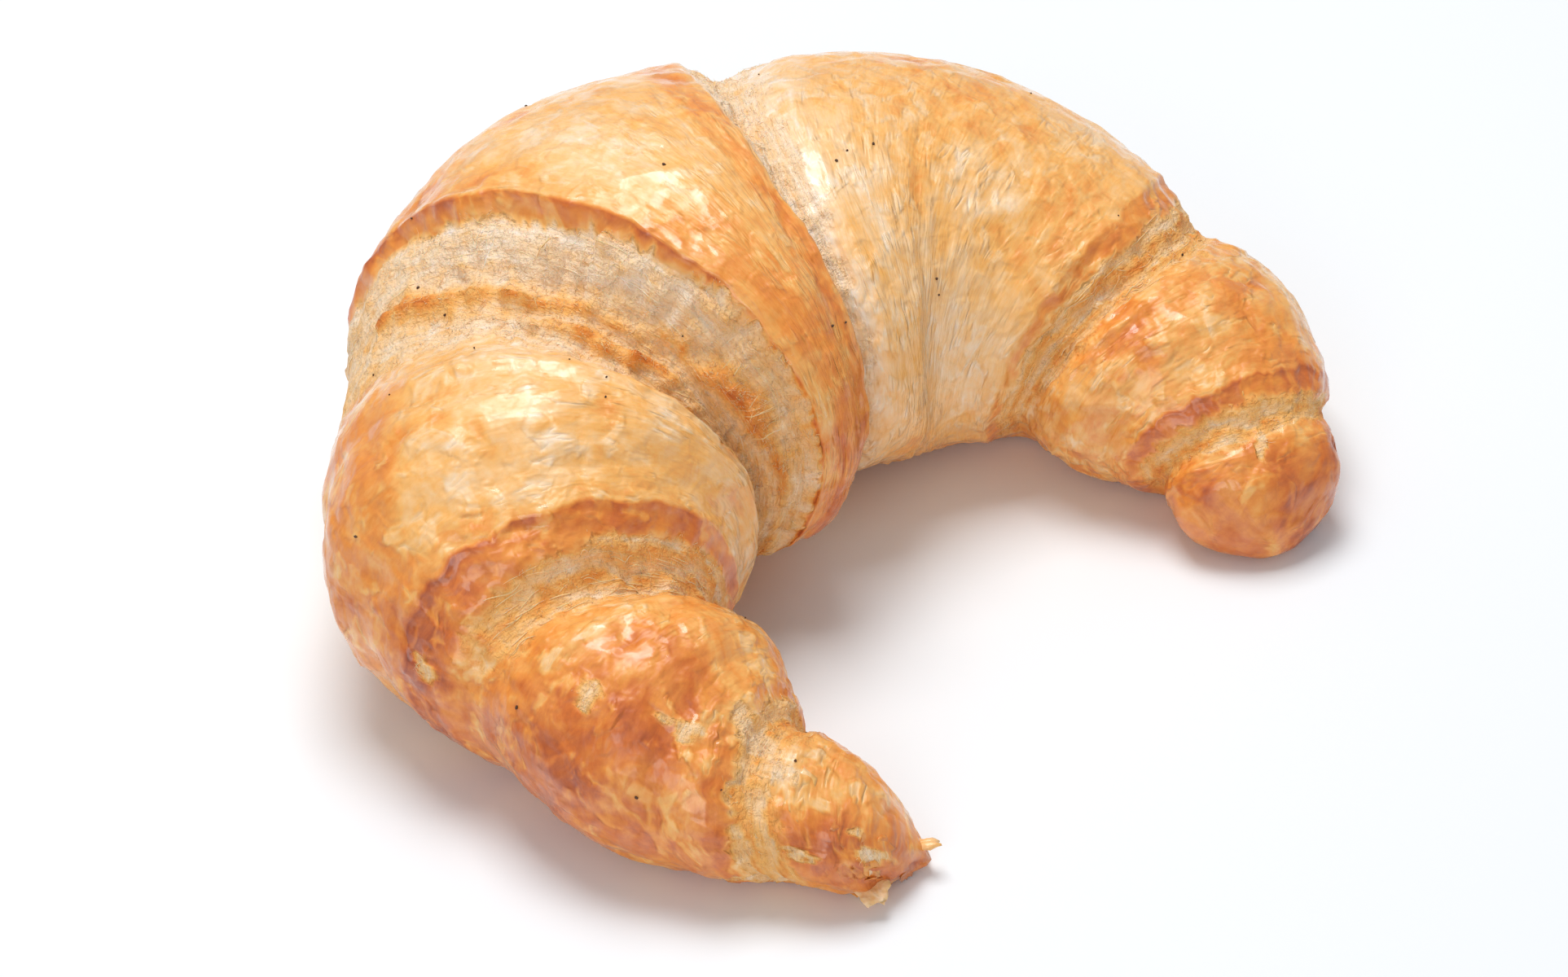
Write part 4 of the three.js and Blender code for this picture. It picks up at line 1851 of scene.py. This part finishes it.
def flat_plate(
    outline: Array, thick: float, rings: int = 3
) -> tuple[Array, Faces]:
    """Make a closed thin plate that is thinner towards its border.

    Args:
        outline: Corners of the border in the plate's own plane.
        thick: Its thickness in the middle.
        rings: How many rings of faces it has.

    Returns:
        Its corners, with the height as their third number, and its faces.
    """
    count = len(outline)
    middle = outline.mean(axis=0)
    shares = np.arange(1, rings + 1) / rings
    flat = middle + (outline - middle) * shares[:, None, None]
    height = thick / 2 * (1 - 0.7 * shares**3)
    top = np.concatenate([flat, np.broadcast_to(height[:, None, None], (rings, count, 1))], axis=-1)
    low = top * (1, 1, -1)
    hubs = np.array([[*middle, thick / 2], [*middle, -thick / 2]])
    corners = np.vstack([top.reshape(-1, 3), low.reshape(-1, 3), hubs])
    faces: Faces = []
    half = rings * count
    for i in range(count):
        j = (i + 1) % count
        faces.append((2 * half, i, j))
        faces.append((2 * half + 1, half + j, half + i))
        for ring in range(rings - 1):
            a, b = ring * count + i, ring * count + j
            faces.append((a, a + count, b + count, b))
            faces.append((half + b, half + b + count, half + a + count, half + a))
        a, b = (rings - 1) * count + i, (rings - 1) * count + j
        faces.append((a, half + a, half + b, b))
    return corners, faces


@dataclass
class MeshHeap:
    """Collects many small closed meshes into one."""

    corners: list[Array] = field(default_factory=list)
    faces: Faces = field(default_factory=list)
    bakes: list[Array] = field(default_factory=list)
    flows: list[Array] = field(default_factory=list)
    count: int = 0

    def add(self, corners: Array, faces: Faces, bake: Array | float, flow: Array) -> None:
        """Add one mesh.

        Args:
            corners: Its corners.
            faces: Its faces.
            bake: How browned its corners are.
            flow: Where its corners lie in the grain.
        """
        self.faces += [tuple(index + self.count for index in face) for face in faces]
        self.corners.append(corners)
        self.bakes.append(np.broadcast_to(bake, len(corners)))
        self.flows.append(np.broadcast_to(flow, (len(corners), 3)))
        self.count += len(corners)

    def piece(self, name: str, material: bpy.types.Material, crinkle: float) -> bpy.types.Object:
        """Make the piece.

        Args:
            name: Its name.
            material: Its finish.
            crinkle: How crinkled its surface is.

        Returns:
            The piece.
        """
        traits = {
            "bake": np.concatenate(self.bakes),
            "flow": np.concatenate(self.flows),
            "torn": np.zeros(self.count),
            "crinkle": np.full(self.count, crinkle),
        }
        return make_piece(name, np.vstack(self.corners), self.faces, material, traits)


@dataclass
class DoughFuzz:
    """Short woolly fibres that stand on the torn dough."""

    skin: Skin
    tufts: int = 1450
    each: int = 5
    shortest: float = 0.7
    longest: float = 1.9
    radius: float = 0.05
    spread: float = 0.35
    least_torn: float = 0.55
    turn_spread: float = 0.9
    lean: Pair = (0.15, 0.9)
    own_turn: float = 0.35
    own_lean: float = 0.12
    own_length: Pair = (0.5, 1.1)
    own_radius: Pair = (0.5, 1.5)
    curl: float = 0.35
    rooted: float = 0.15
    pointed: float = 0.8
    darkest: float = 0.36
    tone: Pair = (-0.07, 0.04)
    sides: int = 3
    steps: int = 4
    seed: int = 81

    def build(self, material: bpy.types.Material) -> bpy.types.Object:
        """Grow the tufts, most where the dough is most torn.

        Args:
            material: The fibres' finish.

        Returns:
            The piece.
        """
        skin = self.skin
        draw = np.random.default_rng(self.seed)
        points = skin.points
        along = points[1:] - points[:-1]
        beside = (np.roll(points, -1, axis=1) - points)[:-1]
        area = np.linalg.norm(np.cross(along, beside), axis=-1)
        weight = (area * np.clip(skin.torn[:-1] - self.least_torn, 0, 1)).ravel()
        pick = draw.choice(weight.size, self.tufts, p=weight / weight.sum())
        row = pick // area.shape[1] + draw.random(self.tufts)
        column = pick % area.shape[1] + draw.random(self.tufts)
        turn = draw.normal(0, self.turn_spread, self.tufts)
        turn = turn + math.pi * draw.integers(0, 2, self.tufts)
        lean = draw.uniform(*self.lean, self.tufts)
        long = draw.uniform(self.shortest, self.longest, self.tufts)
        row, column, turn, lean, long = (
            np.repeat(values, self.each) for values in (row, column, turn, lean, long)
        )
        count = len(row)
        row = row + draw.normal(0, self.spread, count) / skin.step_spacing
        column = column + draw.normal(0, self.spread, count) / skin.step_spacing
        turn = (turn + draw.normal(0, self.own_turn, count))[:, None]
        lean = (lean + draw.normal(0, self.own_lean, count))[:, None]
        root = skin.sample(row, column, points)
        normal = skin.sample(row, column, skin.normals)
        ahead = skin.sample(row, column + 1, points) - root
        ahead = ahead / np.maximum(np.linalg.norm(ahead, axis=-1, keepdims=True), 1e-6)
        aside = np.cross(normal, ahead)
        head = normal * lean + ahead * np.cos(turn) + aside * np.sin(turn)
        head = head / np.linalg.norm(head, axis=-1, keepdims=True)
        length = (long * draw.uniform(*self.own_length, count))[:, None, None]
        curl = draw.normal(0, self.curl, (count, 1, 3))
        share = np.linspace(0, 1, self.steps)[None, :, None]
        paths = length * (head[:, None] * share + curl * share**2)
        paths = (root - self.rooted * normal)[:, None] + paths
        taper = 1 - self.pointed * share[..., 0]
        taper = taper * self.radius * draw.uniform(*self.own_radius, (count, 1))
        paths[..., 2] = np.maximum(paths[..., 2], CLEARANCE)
        corners, faces = wrap_tubes(paths, taper, self.sides)
        tone = np.minimum(skin.sample(row, column, skin.bake), self.darkest)
        tone = tone + draw.normal(*self.tone, count)
        each = self.steps * self.sides
        flow = np.repeat(skin.sample(row, column, skin.flow), each, axis=0)
        traits = {"bake": np.repeat(np.clip(tone, 0, 1), each), "flow": flow}
        return make_piece("dough_fuzz", corners, faces, material, traits)


@dataclass(frozen=True)
class StrandField:
    """A stretch of torn dough with pulled strands."""

    edge: int
    count: int
    out: tuple[float, float]
    degrees: tuple[float, float]
    slant: float = 0.0


@dataclass
class DoughStrands:
    """Longer strands of dough, pulled along the edges where the layers came apart."""

    skin: Skin
    fields: tuple[StrandField, ...] = (
        StrandField(1, 80, (3.5, 9), (10, 140)),
        StrandField(2, 30, (1.5, 7), (-10, 170)),
        StrandField(2, 46, (0.6, 3), (5, 150), 0.85),
        StrandField(2, 16, (7.5, 15), (15, 100), 0.2),
        StrandField(4, 70, (2.5, 9), (0, 150)),
    )
    steps: int = 12
    longest: float = 8
    shortest: float = 2
    radius: float = 0.07
    own_radius: Pair = (0.5, 1.5)
    slant_short: float = 0.55
    drift: float = 1.2
    sway: float = 0.3
    sway_turns: Pair = (1, 4)
    arch: Pair = (0.0, 0.16)
    sunk: float = 0.07
    blunt: float = 0.04
    sides: int = 5
    lowest: float = 0.2
    tone: Pair = (-0.02, 0.06)
    palest: float = 0.02
    darkest: float = 0.26
    seed: int = 91

    def build(self, material: bpy.types.Material) -> bpy.types.Object:
        """Lay all strands.

        Args:
            material: The strands' finish.

        Returns:
            The piece.
        """
        draw = np.random.default_rng(self.seed)
        skin = self.skin
        paths = []
        radii = []
        tones = []
        flows = []
        share = np.linspace(0, 1, self.steps)
        for patch in self.fields:
            edge = skin.edges[patch.edge]
            for _ in range(patch.count):
                length = draw.uniform(self.shortest, self.longest)
                length = length * (1 - self.slant_short * patch.slant)
                start = draw.uniform(*patch.degrees) * DEGREE
                run = (1 - patch.slant) * length + patch.slant * draw.normal(0, self.drift)
                angle = start + run / skin.flow_radius * share
                sway = draw.normal(0, self.sway)
                sway = sway * np.sin(draw.uniform(*self.sway_turns) * share + draw.uniform(0, 6))
                out = draw.uniform(*patch.out) + patch.slant * length * share + sway
                row = skin.row_of(edge, out)
                column = skin.column_at(angle)
                base = skin.sample(row, column, skin.points)
                normal = skin.sample(row, column, skin.normals)
                arch = draw.uniform(*self.arch) * np.sin(math.pi * share)
                paths.append(base + normal * (arch - self.sunk)[:, None])
                inner = self.blunt + (1 - 2 * self.blunt) * share
                taper = np.sqrt(np.clip(np.sin(math.pi * inner), 0, 1))
                radii.append(taper * self.radius * draw.uniform(*self.own_radius))
                tone = skin.sample(row, column, skin.bake) + draw.normal(*self.tone)
                tones.append(np.clip(tone, self.palest, self.darkest))
                flows.append(skin.sample(row, column, skin.flow))
        paths = np.array(paths)
        paths[..., 2] = np.maximum(paths[..., 2], self.lowest)
        corners, faces = wrap_tubes(paths, np.array(radii), self.sides)
        traits = {
            "bake": np.repeat(np.clip(np.array(tones).ravel(), 0, 1), self.sides),
            "flow": np.repeat(np.array(flows).reshape(-1, 3), self.sides, axis=0),
        }
        return make_piece("dough_strands", corners, faces, material, traits)


@dataclass(frozen=True)
class FlakePatch:
    """A patch of crust with loose flakes."""

    place: float
    angle: float
    spread: tuple[float, float]
    count: int
    size: tuple[float, float]
    lift: tuple[float, float]


@dataclass
class CrustFlakes:
    """Thin flakes of crust that have come loose on one side."""

    skin: Skin
    patches: tuple[FlakePatch, ...] = (
        FlakePatch(-102, 140, (6, 40), 9, (1.6, 3.6), (0.2, 0.6)),
        FlakePatch(-107, 200, (4, 40), 6, (1.5, 3.0), (0.2, 0.6)),
        FlakePatch(84, 60, (4, 60), 6, (1.2, 2.6), (0.2, 0.5)),
        FlakePatch(114, 100, (4, 60), 5, (1.2, 2.8), (0.2, 0.5)),
    )
    spokes: int = 16
    thick: float = 0.16
    ragged: float = 0.18
    longer: Pair = (1.0, 1.9)
    turn: float = 0.35
    raised: float = 0.06
    warp: float = 0.06
    hinge: float = 0.7
    lowest: float = 0.15
    tone: Pair = (-0.08, 0.06)
    palest: float = 0.3
    crinkle: float = 0.6
    seed: int = 101

    def build(self, material: bpy.types.Material) -> bpy.types.Object:
        """Lay all flakes.

        Args:
            material: The crust's finish.

        Returns:
            The piece.
        """
        draw = np.random.default_rng(self.seed)
        heap = MeshHeap()
        for patch in self.patches:
            for _ in range(patch.count):
                place = patch.place + draw.uniform(-1, 1) * patch.spread[0]
                degrees = patch.angle + draw.uniform(-1, 1) * patch.spread[1]
                self._flake(heap, draw, patch, place, degrees * DEGREE)
        return heap.piece("crust_flakes", material, self.crinkle)

    def _flake(
        self,
        heap: MeshHeap,
        draw: np.random.Generator,
        patch: FlakePatch,
        place: float,
        angle: float,
    ) -> None:
        """Add one flake.

        Args:
            heap: Where it goes.
            draw: Draws its size, outline and tilt.
            patch: The patch that it belongs to.
            place: Its place along the roll.
            angle: Its angle round the roll.
        """
        skin = self.skin
        size = draw.uniform(*patch.size) / 2
        turns = np.sort(draw.uniform(0, 2 * math.pi, self.spokes))
        rough = 1 + self.ragged * draw.normal(size=self.spokes)
        long = draw.uniform(*self.longer)
        outline = np.stack([np.cos(turns) * long, np.sin(turns)], axis=-1) * (rough * size)[:, None]
        corners, faces = flat_plate(outline, self.thick)
        column = skin.column_at(np.array([angle]))
        row = skin.row_at(np.array([place]), np.array([angle]))
        root = skin.sample(row, column, skin.points)[0]
        normal = skin.sample(row, column, skin.normals)[0]
        ahead = skin.sample(row, column + 1.5, skin.points)[0] - root
        ahead = ahead - normal * (ahead @ normal)
        ahead = ahead / np.linalg.norm(ahead)
        aside = np.cross(normal, ahead)
        turn = draw.normal(0, self.turn)
        ahead, aside = (
            ahead * math.cos(turn) + aside * math.sin(turn),
            aside * math.cos(turn) - ahead * math.sin(turn),
        )
        rise = draw.uniform(*patch.lift) * draw.choice((-1, 1)) / size
        x, y, z = corners.T
        height = z + self.raised + rise / 2 * (y + self.hinge * size * np.sign(rise))
        height = height + draw.normal(0, self.warp) * (x / size) ** 2 * size
        made = root + x[:, None] * ahead + y[:, None] * aside + height[:, None] * normal
        made[:, 2] = np.maximum(made[:, 2], self.lowest)
        tone = skin.sample(row, column, skin.bake)[0] + draw.normal(*self.tone)
        flow = skin.sample(row, column, skin.flow)[0] + np.stack([y, x, x * 0], axis=-1)
        heap.add(made, faces, float(np.clip(tone, self.palest, 1)), flow)


@dataclass(frozen=True)
class Scrap:
    """A stiff scrap of crust that stands off the slender tip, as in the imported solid."""

    place: float
    angle: float
    points: Triple
    length: float
    width: float
    thick: float
    sunk: float
    tone: float


@dataclass
class TipScraps:
    """The scraps at the slender tip, curled and ragged."""

    form: RollForm
    scraps: tuple[Scrap, ...] = (
        Scrap(-105, 205, (-0.76, -0.6, -0.25), 7, 5, 1.0, 0.55, 0.3),
        Scrap(-112, 90, (0.5, -0.83, 0.25), 7, 2.4, 1.6, 0.7, 0.34),
    )
    outline: tuple[tuple[float, float], ...] = (
        (0, -0.5), (0.7, -0.42), (1, -0.1), (0.86, 0.16), (0.95, 0.36), (0.5, 0.5), (0, 0.4),
    )
    border: int = 46
    rings: int = 5
    thin: float = 0.6
    wavy: float = 0.16
    curl: float = 0.035
    ragged: float = 0.16
    crinkle: float = 0.8
    seed: int = 111

    def build(self, material: bpy.types.Material) -> bpy.types.Object:
        """Make both scraps.

        Args:
            material: The crust's finish.

        Returns:
            The piece.
        """
        heap = MeshHeap()
        for number, scrap in enumerate(self.scraps):
            heap.add(*self._scrap(scrap, Grain(self.seed + number)))
        return heap.piece("tip_scraps", material, self.crinkle)

    def _scrap(self, scrap: Scrap, grain: Grain) -> tuple[Array, Faces, float, Array]:
        """Make one scrap.

        Args:
            scrap: Its sizes.
            grain: Its uneven border and face.

        Returns:
            Its corners, faces, tone and grain.
        """
        loop = np.array([*self.outline, self.outline[0]]) * (scrap.length, scrap.width)
        steps = np.linalg.norm(np.diff(loop, axis=0), axis=1)
        known = np.concatenate([[0], np.cumsum(steps)])
        at = np.linspace(0, known[-1], self.border, endpoint=False)
        outline = np.stack([np.interp(at, known, loop[:, axis]) for axis in (0, 1)], axis=-1)
        shift = [grain.wave(np.stack([outline[:, 0], outline[:, 1], at * 0 + i], -1)) for i in (0, 9)]
        outline = outline + self.ragged * scrap.width / 2 * np.stack(shift, axis=-1)
        corners, faces = flat_plate(outline, scrap.thick * self.thin, self.rings)
        corners[:, 0] -= scrap.sunk * scrap.length
        wavy = self.wavy * scrap.thick * grain.wave(corners * (1, 1, 0))
        bend = self.curl * (corners[:, 1] ** 2 - corners[:, 0] ** 2)
        corners[:, 2] += wavy + bend
        out = np.array(scrap.points) / np.linalg.norm(scrap.points)
        side = np.cross((0, 0, 1), out)
        side = side / np.linalg.norm(side)
        basis = np.stack([out, side, np.cross(out, side)])
        root = self.form.point(np.array(scrap.place), np.array(scrap.angle * DEGREE), np.array(0.0))
        made = corners @ basis + root
        made[:, 2] = np.maximum(made[:, 2], CLEARANCE)
        flow = corners * (1, 3, 1) + (scrap.place, 0, 0)
        return made, faces, scrap.tone, flow


@dataclass
class BurntSpecks:
    """Tiny dark grains that baked onto the crust."""

    skin: Skin
    count: int = 34
    smallest: float = 0.24
    largest: float = 0.5
    places: Pair = (-95, 100)
    degrees: Pair = (25, 165)
    sunk: float = 0.4
    rough: float = 0.45
    rough_turns: float = 1.7
    stretch: Pair = (0.6, 1.2)
    seed: int = 121

    def build(self, material: bpy.types.Material) -> bpy.types.Object:
        """Scatter the specks over the upper side.

        Args:
            material: The specks' finish.

        Returns:
            The piece.
        """
        draw = np.random.default_rng(self.seed)
        skin = self.skin
        heap = MeshHeap()
        body = bmesh.new()
        bmesh.ops.create_icosphere(body, subdivisions=2, radius=1)
        ball = np.array([vertex.co for vertex in body.verts])
        faces = [tuple(vertex.index for vertex in face.verts) for face in body.faces]
        body.free()
        for _ in range(self.count):
            place = np.array([draw.uniform(*self.places)])
            angle = np.array([draw.uniform(*self.degrees)]) * DEGREE
            row, column = skin.row_at(place, angle), skin.column_at(angle)
            size = draw.uniform(self.smallest, self.largest) / 2
            root = skin.sample(row, column, skin.points)[0]
            root = root - self.sunk * size * skin.sample(row, column, skin.normals)[0]
            bumps = Grain(int(draw.integers(1000))).wave(ball * self.rough_turns)
            rough = (1 + self.rough * bumps)[:, None]
            corners = ball * rough * draw.uniform(*self.stretch, 3) * size + root
            heap.add(corners, faces, 1.0, np.zeros(3))
        return heap.piece("burnt_specks", material, 0)


@dataclass
class Studio:
    """A pale floor, soft white light and the camera at the photograph's angle."""

    azimuth: float = -51.8
    elevation: float = 40
    distance: float = 0.65
    target: tuple[float, float, float] = (0.0068, 0.0069, 0.0)
    lens: float = 100.9
    sensor: float = 36
    floor_size: float = 6
    world_strength: float = 0.38
    key_spot: tuple[float, float, float] = (0.1, 0.19, 0.8)
    key_size: float = 0.42
    key_power: float = 5.0
    fill_spot: tuple[float, float, float] = (-0.62, -0.3, 0.36)
    fill_size: float = 0.4
    fill_power: float = 1.2

    def build(self) -> None:
        """Make the floor, the light and the camera."""
        self._floor()
        self._lights()
        self._camera()
        scene = bpy.context.scene
        scene.view_settings.view_transform = "Standard"
        LOG.info("studio: floor, lights and camera")

    def _floor(self) -> None:
        """Lay the floor."""
        half = self.floor_size / 2
        mesh = bpy.data.meshes.new("floor")
        corners = [(-half, -half, 0), (half, -half, 0), (half, half, 0), (-half, half, 0)]
        mesh.from_pydata(corners, [], [(0, 1, 2, 3)])
        mesh.materials.append(FloorFinish().make())
        floor = bpy.data.objects.new("floor", mesh)
        bpy.context.scene.collection.objects.link(floor)

    def _lights(self) -> None:
        """Hang the soft boxes and brighten the surroundings."""
        world = bpy.data.worlds.new("surroundings")
        world.use_nodes = True
        background = world.node_tree.nodes["Background"]
        background.inputs["Color"].default_value = (1, 1, 1, 1)
        background.inputs["Strength"].default_value = self.world_strength
        bpy.context.scene.world = world
        self._soft_box("key", self.key_spot, self.key_size, self.key_power)
        self._soft_box("fill", self.fill_spot, self.fill_size, self.fill_power)

    def _soft_box(self, name: str, spot: tuple[float, float, float], size: float, power: float) -> None:
        """Hang one soft box that faces the croissant.

        Args:
            name: Its name.
            spot: Where it hangs, in metres.
            size: Its side, in metres.
            power: Its power, in watts.
        """
        light = bpy.data.lights.new(name, "AREA")
        light.shape = "SQUARE"
        light.size = size
        light.energy = power
        lamp = bpy.data.objects.new(name, light)
        lamp.location = spot
        lamp.rotation_euler = (Vector(self.target) - Vector(spot)).to_track_quat("-Z", "Y").to_euler()
        bpy.context.scene.collection.objects.link(lamp)

    def _camera(self) -> None:
        """Stand the camera."""
        az, el = math.radians(self.azimuth), math.radians(self.elevation)
        back = Vector((math.sin(az) * math.cos(el), -math.cos(az) * math.cos(el), math.sin(el)))
        lens = bpy.data.cameras.new("camera")
        lens.lens = self.lens
        lens.sensor_width = self.sensor
        camera = bpy.data.objects.new("camera", lens)
        camera.location = Vector(self.target) + back * self.distance
        camera.rotation_euler = (-back).to_track_quat("-Z", "Y").to_euler()
        bpy.context.scene.collection.objects.link(camera)
        bpy.context.scene.camera = camera


def main() -> None:
    """Build every piece and the studio."""
    logging.basicConfig(level=logging.INFO, format="%(name)s: %(message)s")
    effects = Effects()
    crust = CrustFinish().make(effects)
    skin = Skin(RollForm())
    CroissantSkin(skin).build(crust)
    fibre = FibreFinish().make(effects)
    DoughFuzz(skin).build(fibre)
    DoughStrands(skin).build(fibre)
    CrustFlakes(skin).build(crust)
    TipScraps(skin.form).build(crust)
    BurntSpecks(skin).build(SpeckFinish().make(effects))
    Studio().build()


if __name__ == "__main__":
    main()
